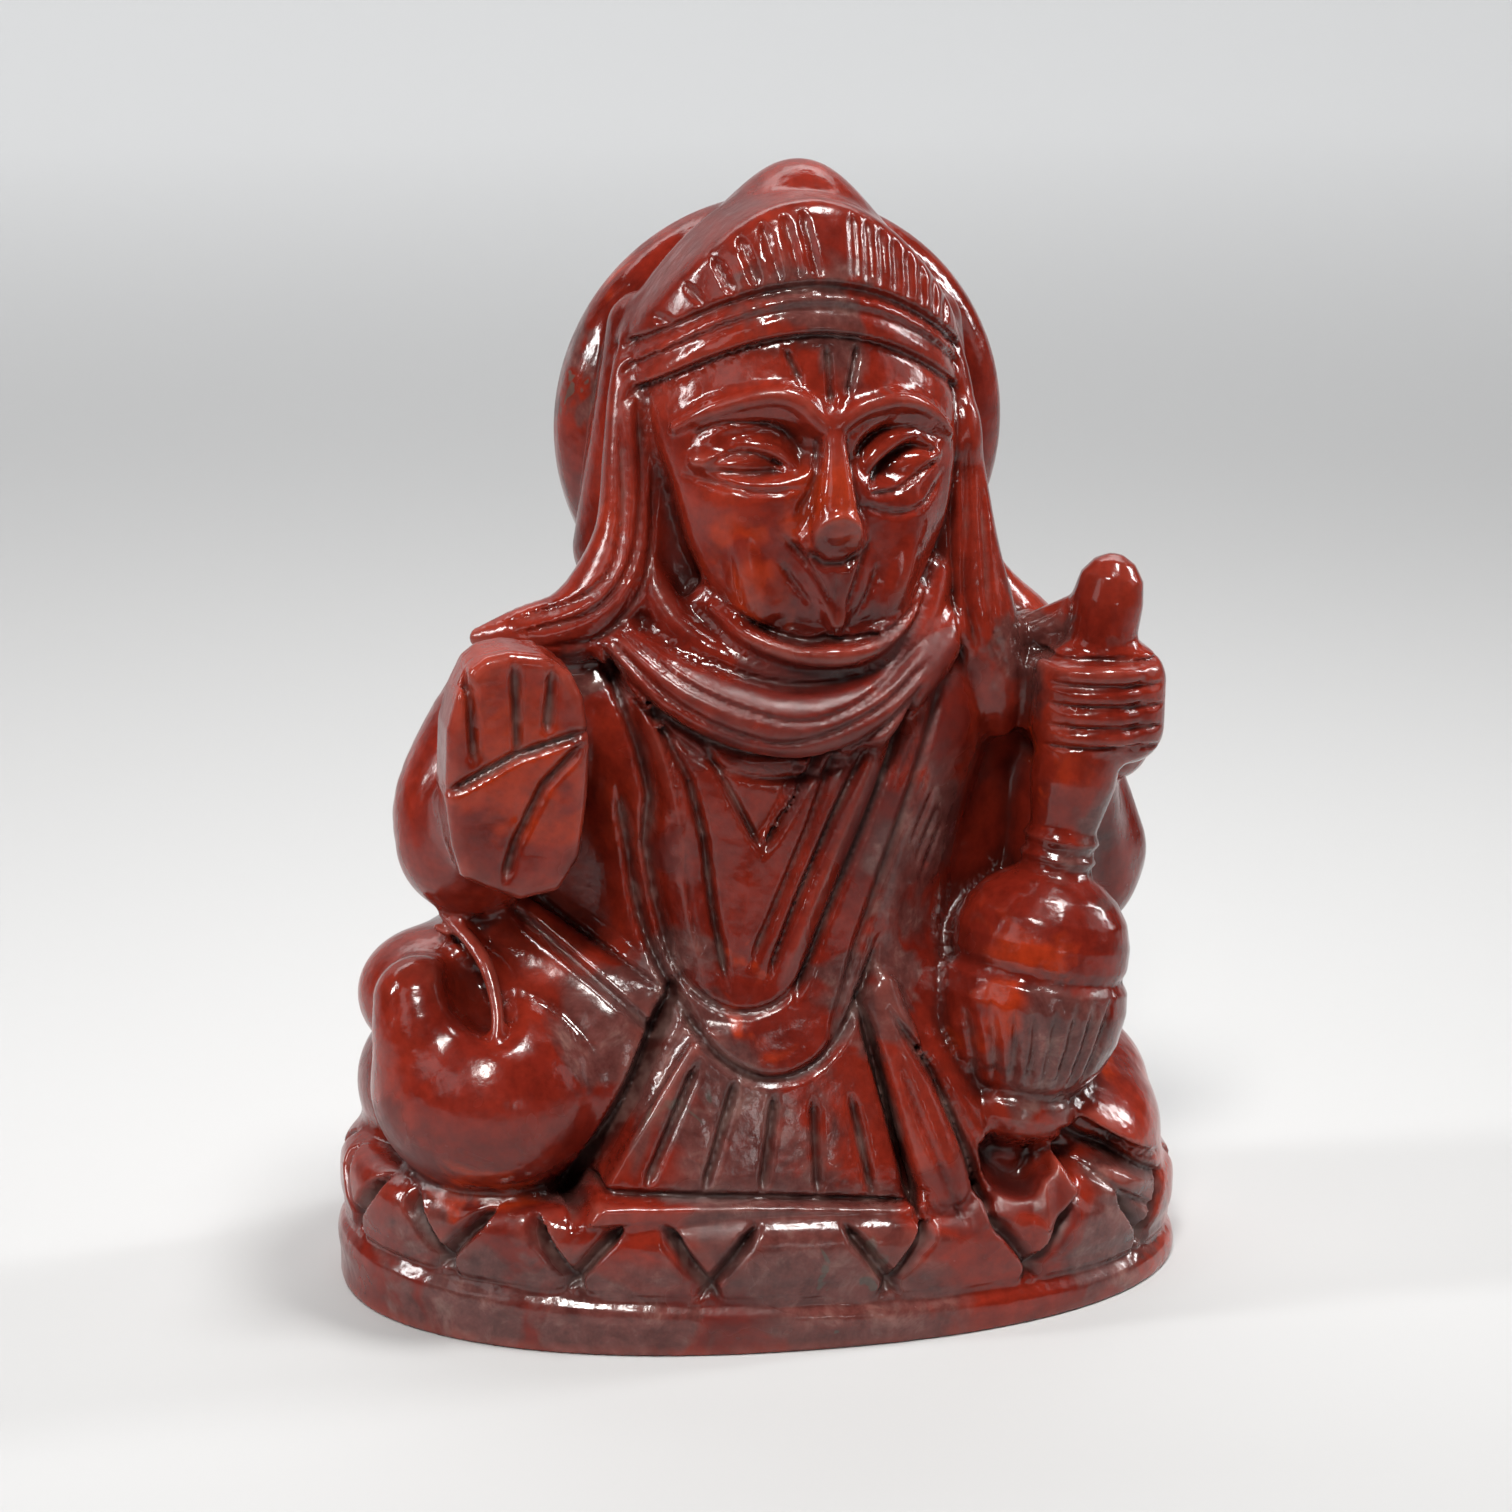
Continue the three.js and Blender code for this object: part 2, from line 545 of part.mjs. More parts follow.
function shapeTiara(clay) {
  const band = only(ball([1.0, -0.4, 69.4], [15.5, 13.3, 22.5]), (x, y, z) =>
                    Math.max(browLine(x) - z, z - cordLine(x) - 1.5), 0.6);
  clay.add(only(band, (x, y, z) => y - 2.5, 1), 0.3);
  const crown = only(ball([1.2, 1.0, 72.4], [15.9, 14.6, 22]), (x, y, z) =>
                     Math.max(cordLine(x) - z, z - crestLine(x)), 1.0);
  clay.add(only(crown, (x, y, z) => y - 3.0, 1.5), 0.6);
}

const MASK_AT = [1.4, -1.0, 64.5];
const MASK_SIZE = [15.5, 13.6, 22.0];
const MASK = [[-13.2, 80], [-13.0, 71.7], [-12.3, 68.7], [-11.1, 65.2], [-9.7, 59.7], [-8.3, 56.5],
              [-5.6, 53.6], [-2.5, 51.6], [1.5, 50.2], [5, 50.4], [8.6, 52], [10.9, 54.6], [12.6, 58],
              [14.3, 61.6], [15.3, 66.7], [15.7, 74.2], [15.7, 80]];

// How far forward the mask reaches at a place on it.
function maskFront(x, z) {
  const across = (x - MASK_AT[0]) / MASK_SIZE[0];
  const up = (z - MASK_AT[2]) / MASK_SIZE[2];
  return MASK_AT[1] - MASK_SIZE[1] * Math.sqrt(Math.max(0, 1 - across ** 2 - up ** 2));
}

// Places a run of points, given as x, z and radius, on the mask.
function onMask(points, forward) {
  return points.map(([x, z, r]) => [x, maskFront(x, z) - forward, z, r]);
}

function shapeFace(clay) {
  clay.add(limb([-10.4, -0.6, 67, 4.6], [-9.8, -1.6, 54, 5.0]), 1.5);
  clay.add(limb([12.8, 0.0, 67, 4.6], [12.2, -1.6, 54, 5.0]), 1.5);
  const mask = only(ball(MASK_AT, MASK_SIZE), (x, y, z) => outlineFar(MASK, x, z), 0.9);
  clay.add(only(mask, (x, y, z) => y + 1.0, 1), 0.25);
  clay.add(limb([-5.4, -10.4, 63.8, 3.0], [-3.8, -11.2, 55.0, 2.8]), 1.8);
  clay.add(limb([8.8, -10.0, 62.6, 2.8], [7.4, -11.0, 55.0, 2.8]), 1.8);
  clay.cut(ball([-5.2, -14.8, 69.2], [6.4, 3.5, 3.1]), 0.8);
  clay.cut(lean(ball([9.2, -14.2, 68.6], [5.4, 3.5, 3.2]), [9.2, -14.2, 68.6], -8), 0.8);
  clay.add(ball([-5.6, -10.3, 67.6], [4.6, 2.3, 1.5]), 0.2);
  clay.add(lean(ball([9.0, -9.6, 66.6], [4.2, 2.3, 1.5]), [9.0, -9.6, 66.6], -15), 0.2);
  clay.add(rope(onMask([[-10.2, 67.4, 0.4], [-8.2, 68.7, 0.65], [-5.4, 69.2, 0.75], [-2.9, 68.7, 0.65],
                        [-1.3, 67.3, 0.4]], -1.2), 4), 0.3);
  clay.add(rope(onMask([[-10.0, 66.9, 0.35], [-7.4, 66.4, 0.5], [-4.2, 66.1, 0.55], [-1.5, 66.8, 0.35]],
                       -1.1), 4), 0.3);
  clay.add(rope(onMask([[4.6, 66.2, 0.4], [6.3, 68.3, 0.75], [8.7, 69.6, 0.8], [11.2, 69.5, 0.7],
                        [13.3, 68.0, 0.4]], -1.2), 4), 0.3);
  clay.add(rope(onMask([[4.8, 64.7, 0.35], [7.7, 63.9, 0.55], [10.5, 64.7, 0.55], [13.0, 66.8, 0.35]],
                       -1.1), 4), 0.3);
  clay.add(rope(onMask([[-11.0, 70.2, 0.5], [-8.4, 72.0, 0.8], [-5.5, 73.2, 0.9], [-2.8, 73.7, 0.95],
                        [-0.8, 73.1, 1.0], [0.9, 71.4, 0.9]], 0.1), 4), 0.5);
  clay.add(rope(onMask([[2.9, 71.5, 0.9], [4.6, 72.4, 0.9], [7.6, 72.9, 0.9], [10.2, 72.3, 0.85],
                        [12.4, 70.8, 0.7], [14.0, 69.1, 0.5]], 0.1), 4), 0.5);
  clay.add(stack([[50.4, 2.2, -6, 5.0, 7.0], [53, 2.2, -6, 7.4, 8.3], [57, 2.2, -6, 6.8, 9.3],
                  [61, 2.0, -6, 5.2, 9.4], [65, 2.0, -6, 3.2, 8.3], [67.5, 2, -6, 2.0, 7.0]], 4, 1.6),
           0.9);
  clay.add(rope([[2.0, -13.2, 72.6, 0.9], [2.0, -14.6, 68.8, 1.2], [2.0, -15.6, 65.2, 1.7],
                 [2.0, -15.9, 62.9, 1.8]], 4), 0.7);
  clay.add(plate([[0.4, 64.6], [3.6, 64.6], [5.2, 61.0], [3.0, 53.0], [1.9, 53.0], [-1.2, 61.0]], -15.4,
                 -10, 0.5), 0.5);
  const tip = ball([2.0, -15.9, 61.9], [2.3, 2.9, 2.9]);
  clay.add(only(tip, (x, y, z) => 0.62 * (64.0 - z) - y - 18.3, 0.3), 0.3);
  clay.add(rope([[-7.4, -8.4, 54.2, 2.0], [-4.0, -10.6, 51.8, 2.6], [2.0, -12.2, 50.8, 2.8],
                 [7.6, -10.6, 52.0, 2.4], [10.6, -7.6, 54.2, 1.8]], 4), 0.4);
  clay.add(rope([[-7.8, -10.6, 54.4, 0.5], [-5.2, -13.4, 52.3, 0.8], [-1.4, -15.1, 51.1, 1.0],
                 [2.2, -15.6, 50.8, 1.1], [5.8, -14.8, 51.3, 1.0], [9.2, -12.4, 53.0, 0.8],
                 [11.4, -9.6, 55.0, 0.5]], 5), 0.3);
}

// MACE, FIST AND PALM

const MACE_FOOT = [19.3, -13.4, -0.4];
const MACE_HEAD = [30.4, -7.8, 57.2];
const MACE = [[0, 0.01], [0.3, 1.4], [1.2, 2.2], [2.2, 2.6], [3.4, 2.4], [4.0, 3.6], [5.2, 5.5],
              [6.6, 6.2], [8.0, 6.0], [8.6, 5.0], [9.0, 5.4], [9.8, 6.4], [11.6, 7.8], [14.2, 8.7],
              [17.2, 9.0], [19.2, 8.7], [20.1, 7.9], [21.2, 8.3], [23.2, 8.2], [25.4, 7.5], [27.2, 6.2],
              [28.5, 4.5], [29.4, 3.0], [30.5, 3.6], [31.3, 3.0], [32.2, 3.6], [33.2, 3.1], [35.2, 3.5],
              [37.6, 4.0], [40.2, 4.0], [42.8, 3.5], [50, 3.3], [54.6, 3.3], [56.8, 2.9], [58.2, 1.9],
              [58.9, 0.6]];

function shapeMace(clay) {
  clay.cut(ball([19.9, -18.4, 3.2], [3.6, 4.0, 3.8]), 0.9);
  clay.add(turned(MACE_FOOT, MACE_HEAD, MACE), 0.6);
  clay.add(rope([[24.4, -6, 9, 4.6], [25.2, -4, 17, 5.6], [26.5, -3, 27, 4.3], [27.6, -3, 38, 4]], 3),
           1.0);
  clay.add(rope([[28.4, -7.0, 51.6, 2.2], [24.6, -4.6, 49.2, 2.2], [20.5, -2.0, 47.0, 2.6]], 3), 0.6);
}

function shapeFist(clay) {
  clay.add(block([28.7, -8.2, 43.6], [6.1, 5.2, 5.7], 3.6), 0.6);
  clay.add(ball([31.5, -4.6, 39.4], [3.8, 4.8, 4.5]), 0.8);
  for (let finger = 0; finger < 4; finger++) {
    const z = 47.2 - finger * 1.95;
    clay.add(rope([[23.6, -9.4, z, 1.0], [25.4, -12.4, z, 1.2], [29.4, -13.2, z - 0.1, 1.2],
                   [32.8, -11.0, z - 0.3, 1.15]], 3), 0.2);
  }
}

const PALM = [[-27, 52.3], [-23.9, 51.9], [-21.5, 50.2], [-20.4, 47.9], [-19.8, 43.8], [-20, 38.8],
              [-20.7, 33.3], [-22.5, 30.3], [-26.1, 29.6], [-28.8, 30.7], [-31.3, 32], [-32.1, 34.8],
              [-32.7, 39.4], [-32.5, 45.3], [-31.7, 48.4], [-30.5, 50.9], [-29.2, 51.9]];

function shapePalm(clay) {
  clay.add(plate(PALM, -16.4, -9.5, 1.1), 0.4);
  clay.add(rope([[-31.2, -7.6, 36.8, 0.8], [-33.0, -6.4, 33.6, 1.0], [-33.2, -6.0, 30.6, 1.0],
                 [-31.6, -6.4, 28.0, 1.0], [-28.4, -7.0, 26.6, 0.8]], 4), 0.4);
}

// SCORED LINES

function scoreRobe(clay) {
  clay.score([
    [[[-15.5, 48.6], [-12.0, 40.2], [-10.9, 35.3], [-10.8, 29.6], [-9.9, 24.5], [-8.9, 19.6]], 1.9,
     -0.8, 4],
    [[[8.4, 46.0], [6.2, 41.4], [3.0, 34.0], [0.0, 27.0], [-2.4, 20.6]], 1.6, -0.8, 4],
    [[[4.2, 42.3], [1.4, 35.4], [-2.0, 27.4], [-4.2, 21.6]], 1.1, -0.45, 4],
    [[[-5.0, 33.0], [-5.6, 26.0], [-6.2, 20.6]], 1.4, -0.3, 4],
  ], FRONT, [-20, -30, 15], [14, -6, 52]);
  const lines = [
    [[[-9.3, 43.0], [-6.6, 37.9], [-3.9, 32.6]], 0.6, 0.7, 2.0],
    [[[1.7, 42.6], [-1.2, 37.0], [-4.0, 32.2]], 0.6, 0.7, 2.0],
    [[[-17.2, 50.6], [-14.2, 41.3], [-13.3, 37.1], [-13.5, 32.4], [-12.6, 26.8], [-11.2, 21.5]], 0.8,
     1.0, 3.0],
    [[[-14.0, 46.6], [-10.3, 39.1], [-8.9, 33.5], [-8.1, 26.8], [-6.9, 19.8]], 0.6, 0.8, 3.0],
    [[[-12.9, 44.4], [-11.4, 38.6], [-10.6, 33.6]], 0.4, 0.3, 3.0],
    [[[-10.6, 33.4], [-10.2, 28.0], [-9.4, 23.0]], 0.4, 0.3, 3.0],
    [[[5.8, 42.2], [2.3, 35.8], [-0.9, 28.2], [-3.6, 20.5]], 0.5, 0.7, 2.5],
    [[[2.8, 42.6], [0.2, 35.0], [-2.6, 28.1], [-5.1, 22.0]], 0.5, 0.6, 2.5],
    [[[10.2, 47.0], [7.9, 40.6], [4.6, 32.6], [1.6, 25.7], [-1.2, 18.6]], 0.7, 0.9, 2.5],
    [[[13.4, 46.4], [10.6, 38.4], [7.9, 31.2], [4.9, 23.2], [1.9, 14.4]], 0.8, 0.7, 2.5],
  ];
  for (let i = 0; i < 6; i++) {
    lines.push([[[11.0 + 0.6 * i, 43.0 - 1.9 * i], [8.4 + 0.6 * i, 37.4 - 1.9 * i]], 0.4, 0.28, 2.0]);
  }
  clay.score(lines, FRONT, [-20, -30, 10], [20, -6, 52]);
  const outer = smooth([[-16.0, 38.0], [-14.8, 32.1], [-13.9, 25.8], [-12.3, 21.0], [-9.6, 16.0],
                        [-7.0, 13.4], [-3.7, 12.0], [0, 12.7], [2.9, 15.2], [5.4, 19.4], [7.2, 24.0]],
                       4);
  const inner = smooth([[-12.8, 25.6], [-11.4, 21.7], [-9.2, 19.2], [-6.2, 18.0], [-3.0, 18.6],
                        [-0.7, 20.6], [1.2, 23.4]], 4);
  clay.score([
    [outer, 0.8, 0.95, 4.0],
    [inner, 0.6, 0.6, 4.0],
  ], FRONT, [-20, -30, 8], [12, -6, 42]);
}

function scoreScarf(clay) {
  clay.score([
    [smooth([[-17.4, 51.9], [-11.8, 46.6], [-5.7, 43.9], [-1.1, 43.6], [6.1, 46.0], [12.0, 49.6]], 4),
     0.5, 0.5, 3],
    [smooth([[-16.6, 53.0], [-11.4, 48.6], [-5.0, 46.0], [0.0, 45.4], [6.0, 47.4], [12.0, 51.4]], 4),
     0.45, 0.4, 3],
    [smooth([[-17.9, 51.0], [-12.6, 45.0], [-8.0, 42.4], [-3.6, 41.4], [0.6, 41.6], [5.2, 43.4],
             [11.0, 47.4]], 4), 0.6, 0.6, 3],
    [smooth([[-10.4, 50.9], [-5.4, 48.8], [0.6, 48.0], [6.4, 48.8], [10.6, 51.2]], 4), 0.4, 0.3, 3],
    [smooth([[-16.6, 48.0], [-12.4, 43.6], [-8.4, 40.6], [-4.0, 39.2], [-0.6, 39.2], [3.8, 40.4]], 4),
     0.5, 0.45, 3],
  ], FRONT, [-20, -30, 36], [18, -5, 56]);
}

function scoreKnee(clay) {
  clay.score([
    [smooth([[-25.7, 26.0], [-22.1, 23.2], [-18.4, 20.2], [-14.7, 17.1], [-12.5, 14.8]], 3), 0.7, 0.7,
     3],
    [smooth([[-23.9, 27.0], [-18.4, 23.0], [-13.8, 20.2], [-11.2, 18.8]], 3), 0.5, 0.45, 3],
    [smooth([[-29.2, 21.6], [-31.0, 24.2], [-33.8, 25.6]], 3), 0.5, 0.5, 1.5],
    [smooth([[-37.0, 21.8], [-35.6, 23.3], [-33.3, 23.8], [-31.0, 23.0]], 3), 0.5, 0.5, 1.5],
  ], FRONT, [-40, -30, 10], [-10, -4, 30]);
}

function scoreLowKnee(clay) {
  clay.score([
    [[[24.0, 5.2], [26.9, 3.0], [31.4, 0.4], [36.4, -2.6]], 0.8, 1.0, 2.5],
    [[[24.8, 2.0], [28.4, -0.2], [32.4, -3.2], [35.8, -5.6]], 0.5, 0.5, 2.5],
    [[[22.2, 3.2], [22.0, -2.0], [22.1, -6.2]], 1.2, -0.5, 2.5],
  ], FRONT, [20, -30, -7], [39, -2, 8]);
}

function scoreSkirt(clay) {
  const pleats = [];
  for (let i = 0; i < 5; i++) {
    const t = i / 4;
    const top = [-10.0 + 13.9 * t, 13.9 - 3.6 * Math.min(1, 1.6 * t)];
    pleats.push([[top, [-15.4 + 21.1 * t, 2.9 - 1.9 * t]], 0.7, 1.0, 1.5]);
  }
  clay.score([
    ...pleats,
    [[[-10.6, 21.0], [-15.5, 11.4], [-21.9, 0.2]], 1.25, 2.2, 5.0],
    [[[-20.4, 2.9], [-4.5, 1.9], [9.2, 0.4]], 0.5, 0.7, 1.5],
    [[[4.6, 19.6], [6.8, 11.8], [8.4, 5.0], [9.9, -1.8]], 0.8, 1.3, 4.0],
    [[[7.4, 18.0], [11.8, 11.4], [14.7, 4.5], [17.2, -3.0]], 0.7, 1.0, 4.0],
    [[[8.2, 13.4], [10.2, 7.6], [12.4, 2.0], [14.0, -1.6]], 0.5, 0.5, 3.0],
    [[[10.6, 14.8], [14.4, 7.4], [18.0, 1.2]], 0.6, 0.35, 3.0],
  ], FRONT, [-25, -30, -6], [20, -6, 22]);
}

function scoreFist(clay) {
  clay.score([48.2, 46.2, 44.3, 42.3, 40.4].map((z) => [[[23.0, z], [28.0, z + 0.1], [34.0, z - 0.3]],
                 0.4, 0.5, 1.0]), FRONT, [22, -20, 39], [35, -7, 50]);
}

function scoreMace(clay) {
  const flutes = [];
  for (let i = 0; i < 8; i++) {
    const x = 14.9 + 1.92 * i;
    flutes.push([[[x, 18.3], [16.4 + 0.68 * (x - 14.9), 9.6]], 0.62, 0.55, 2.5]);
  }
  clay.score(flutes, FRONT, [12, -30, 8], [32, -9, 22]);
}

function scorePalm(clay) {
  clay.score([
    [[[-30.7, 50.4], [-30.1, 42.0]], 0.75, 0.9, 1.5],
    [[[-26.6, 51.5], [-26.3, 42.6]], 0.75, 0.95, 1.5],
    [[[-23.2, 51.0], [-23.8, 44.4]], 0.75, 0.9, 1.5],
    [[[-32.6, 39.8], [-26.5, 43.0], [-20.0, 44.9]], 0.75, 0.9, 1.5],
    [[[-20.3, 44.0], [-24.0, 40.2], [-26.5, 35.1], [-27.6, 31.3]], 0.75, 0.9, 1.5],
    [[[-26.5, 39.2], [-26.5, 36.6]], 0.4, 0.3, 1.0],
  ], FRONT, [-34, -18, 29], [-18, -14.5, 54]);
}

function scoreTiara(clay) {
  const flutes = [];
  for (let i = 0; i < 7; i++) {
    const foot = 1.0 - 1.45 * i - 0.09 * i * i;
    const top = foot - 0.9 - 0.12 * i;
    flutes.push([[[top, crestLine(top) - 0.7], [foot, cordLine(foot) + 0.5]], 0.6, 0.5, 1.0]);
  }
  for (let i = 0; i < 8; i++) {
    const foot = 4.3 + 1.36 * i;
    flutes.push([[[foot + 0.3, crestLine(foot) - 0.7], [foot, cordLine(foot) + 0.5]], 0.6, 0.4, 1.0]);
  }
  clay.score(flutes, FRONT, [-17, -20, 72], [19, 1, 93]);
  const arc = (top, bend) => count(17).map((i) => [0.8 + 2 * (i - 8), top - 4 * bend * (i - 8) ** 2]);
  clay.score([
    [arc(82.9, 0.030), 0.7, 0.35, 2],
    [arc(82.0, 0.030), 0.6, -0.3, 2],
    [arc(81.1, 0.030), 0.6, 0.3, 2],
    [arc(78.7, 0.029), 0.6, 0.35, 2],
  ], FRONT, [-17, -20, 70], [19, 1, 86]);
}

function scoreFace(clay) {
  clay.score([
    [[[-1.9, 77.6], [-0.6, 74.6]], 0.5, 0.75, 0.8],
    [[[1.8, 77.8], [1.9, 72.6]], 0.5, 0.75, 0.8],
    [[[4.7, 77.8], [3.4, 73.4]], 0.5, 0.75, 0.8],
    [smooth([[-9.9, 68.9], [-9.0, 70.1], [-6.7, 71.1], [-3.3, 71.1], [-1.6, 70.1], [-0.4, 68.6]], 3),
     0.4, 0.4, 1.5],
    [smooth([[4.4, 68.3], [5.9, 69.7], [7.8, 70.3], [10.3, 70.0], [13.2, 68.6]], 3), 0.4, 0.4, 1.5],
    [smooth([[-9.1, 67.2], [-7.2, 68.1], [-5.2, 68.5], [-3.3, 68.0], [-1.6, 67.1]], 3), 0.5, 0.4, 1.0],
    [smooth([[-9.0, 67.1], [-6.5, 66.8], [-4.1, 66.7], [-1.6, 67.1]], 3), 0.5, 0.4, 1.0],
    [smooth([[5.2, 65.0], [6.7, 66.9], [8.5, 68.1], [10.3, 68.4], [12.7, 67.5]], 3), 0.42, 0.5, 1.0],
    [smooth([[5.3, 64.9], [7.8, 64.8], [9.9, 65.7], [12.7, 67.3]], 3), 0.42, 0.5, 1.0],
    [smooth([[-10.6, 66.2], [-7.7, 65.8], [-4.1, 65.2], [-0.7, 65.7]], 3), 0.45, 0.4, 2.0],
    [smooth([[4.0, 64.4], [7.8, 62.9], [11.1, 63.5], [13.2, 65.9]], 3), 0.45, 0.4, 2.0],
    [smooth([[1.0, 70.9], [0.5, 67.5], [-0.1, 65.5], [-1.5, 62.9]], 3), 0.45, 0.35, 1.5],
    [smooth([[3.1, 70.7], [3.7, 67.2], [4.1, 64.9], [5.1, 62.8]], 3), 0.45, 0.35, 1.5],
    [smooth([[-2.4, 61.4], [-0.6, 59.6], [1.0, 57.1], [2.3, 54.8]], 3), 0.5, 0.5, 1.5],
    [smooth([[-2.8, 59.3], [-1.3, 57.2], [0.5, 54.6]], 3), 0.4, 0.35, 1.5],
    [smooth([[5.6, 61.2], [4.6, 59.2], [4.0, 57.0], [3.0, 54.2]], 3), 0.5, 0.5, 1.5],
    [smooth([[6.4, 58.6], [5.5, 55.9], [4.2, 53.7]], 3), 0.4, 0.35, 1.5],
    [[[-0.4, 60.2], [1.0, 59.0], [3.0, 59.0], [4.4, 60.1]], 0.6, 0.7, 1.0],
    [[[2.3, 58.4], [2.4, 53.6]], 0.5, 0.35, 1.5],
    [smooth([[-6.6, 54.6], [-4.2, 53.1], [-2.3, 52.3], [0, 51.8], [1.8, 52.0], [3.4, 51.8], [6.4, 52.0],
             [8.6, 52.8], [11.0, 54.4]], 3), 0.55, 0.6, 2.0],
  ], FRONT, [-14, -24, 48], [17, -5, 79]);
}

function scoreHair(clay) {
  clay.score([
    [smooth([[-13.6, 72], [-13.6, 64], [-14.8, 58], [-18.4, 53.6], [-24.8, 51.2]], 4), 0.5, 0.55, 3],
    [smooth([[-15.2, 70], [-15.2, 63], [-16.4, 57.6], [-20.0, 54.2], [-25.6, 51.9]], 4), 0.5, 0.5, 3],
    [smooth([[-12.4, 66], [-12.8, 59], [-14.2, 55], [-17.6, 51.4], [-22.8, 50.2]], 4), 0.5, 0.5, 3],
    [smooth([[-14.0, 57.0], [-16.4, 52.6], [-21.4, 49.6]], 4), 0.4, 0.35, 3],
    [smooth([[16.9, 68], [16.6, 61], [16.2, 54], [17.6, 47.6]], 4), 0.5, 0.5, 3],
    [smooth([[18.3, 64], [18.2, 58], [18.4, 52], [20.2, 46.4]], 4), 0.5, 0.5, 3],
    [smooth([[15.4, 64], [15.2, 57], [15.4, 51], [16.6, 46]], 4), 0.45, 0.4, 3],
  ], FRONT, [-30, -12, 42], [24, 0.5, 74]);
}

// FROM THE GRID TO A CLOSED MESH

// The eight corners of a grid cell, and for each pattern of filled corners whether the stone and the
// air in the cell are each all in one piece.
const CORNERS = count(8).map((i) => [i & 1, (i >> 1) & 1, (i >> 2) & 1]);

function inOnePiece(pattern) {
  if (pattern === 0) return true;
  let reached = pattern & -pattern;
  for (let pass = 0; pass < 4; pass++) {
    for (let i = 0; i < 8; i++) {
      for (const side of [1, 2, 4]) {
        if ((reached >> i) & (pattern >> (i ^ side)) & 1) reached |= 1 << (i ^ side);
      }
    }
  }
  return reached === pattern;
}

const CLEAN = Array.from({ length: 256 }, (unused, p) => inOnePiece(p) && inOnePiece(255 - p));

function eachCell(clay, visit) {
  const [nx, ny, nz] = clay.count;
  const step = CORNERS.map(([i, j, k]) => (i * ny + j) * nz + k);
  for (let i = 0; i < nx - 1; i++) {
    for (let j = 0; j < ny - 1; j++) {
      for (let k = 0; k < nz - 1; k++) {
        const at = (i * ny + j) * nz + k;
        let pattern = 0;
        for (let c = 0; c < 8; c++) if (clay.field[at + step[c]] < 0) pattern |= 1 << c;
        if (pattern !== 0 && pattern !== 255) visit(at, pattern, step, i, j, k);
      }
    }
  }
}

// Fills the corners where two sheets of the surface would touch, so that the mesh stays a true skin.
function mend(clay) {
  let changed = true;
  while (changed) {
    changed = false;
    eachCell(clay, (at, pattern, step) => {
      if (CLEAN[pattern]) return;
      const open = step.filter((shift, c) => !((pattern >> c) & 1)).map((shift) => at + shift);
      const nearest = open.reduce((a, b) => (clay.field[a] < clay.field[b] ? a : b));
      clay.field[nearest] = -0.01;
      changed = true;
    });
  }
}

// Turns air that the outside can't reach into stone.
function fillHollows(clay) {
  const [, ny, nz] = clay.count;
  const reached = new Uint8Array(clay.field.length);
  const queue = [0];
  reached[0] = 1;
  while (queue.length > 0) {
    const at = queue.pop();
    for (const shift of [ny * nz, -ny * nz, nz, -nz, 1, -1]) {
      const next = at + shift;
      if (clay.field[next] >= 0 && !reached[next]) {
        reached[next] = 1;
        queue.push(next);
      }
    }
  }
  clay.field.forEach((value, at) => {
    if (value >= 0 && !reached[at]) clay.field[at] = -0.01;
  });
}

// One vertex in each cell that the surface crosses, and a pair of triangles round each crossed edge.
function skin(clay) {
  const [, ny, nz] = clay.count;
  const vertexIn = new Int32Array(clay.field.length).fill(-1);
  const places = [];
  const cells = [];
  eachCell(clay, (at, pattern, step, i, j, k) => {
    const sum = [0, 0, 0];
    let crossings = 0;
    for (let a = 0; a < 8; a++) {
      for (let axis = 0; axis < 3; axis++) {
        const b = a | (1 << axis);
        if (b === a || ((pattern >> a) & 1) === ((pattern >> b) & 1)) continue;
        const [fa, fb] = [clay.field[at + step[a]], clay.field[at + step[b]]];
        for (let m = 0; m < 3; m++) sum[m] += CORNERS[a][m] + (m === axis ? fa / (fa - fb) : 0);
        crossings++;
      }
    }
    vertexIn[at] = places.length / 3;
    places.push(...[i, j, k].map((v, m) => clay.low[m] + (v + sum[m] / crossings) * clay.grain));
    cells.push([at, pattern]);
  });
  const stride = [ny * nz, nz, 1];
  const faces = [];
  for (const [at, pattern] of cells) {
    for (let axis = 0; axis < 3; axis++) {
      const solidHere = pattern & 1;
      if (solidHere === ((pattern >> (1 << axis)) & 1)) continue;
      const [p, q] = [stride[(axis + 1) % 3], stride[(axis + 2) % 3]];
      const ring = [at, at - p, at - p - q, at - q].map((cell) => vertexIn[cell]);
      const [a, b, c, d] = solidHere ? ring : ring.reverse();
      faces.push(a, b, c, a, c, d);
    }
  }
  return { places, faces };
}

// FEWER TRIANGLES
// Edges are folded away one by one, the least noticeable first, by the squared distances to the planes
// of the triangles that a vertex has stood for.

function planeTerms(a, b, c) {
  const normal = new THREE.Vector3().crossVectors(b.clone().sub(a), c.clone().sub(a));
  const area = normal.length() / 2 + 1e-12;
  normal.normalize();
  const [x, y, z, w] = [normal.x, normal.y, normal.z, -normal.dot(a)];
  return [x * x, x * y, x * z, x * w, y * y, y * z, y * w, z * z, z * w, w * w].map((v) => v * area);
}

function planeError(q, p) {
  return q[0] * p.x * p.x + 2 * q[1] * p.x * p.y + 2 * q[2] * p.x * p.z + 2 * q[3] * p.x
    + q[4] * p.y * p.y + 2 * q[5] * p.y * p.z + 2 * q[6] * p.y + q[7] * p.z * p.z + 2 * q[8] * p.z + q[9];
}

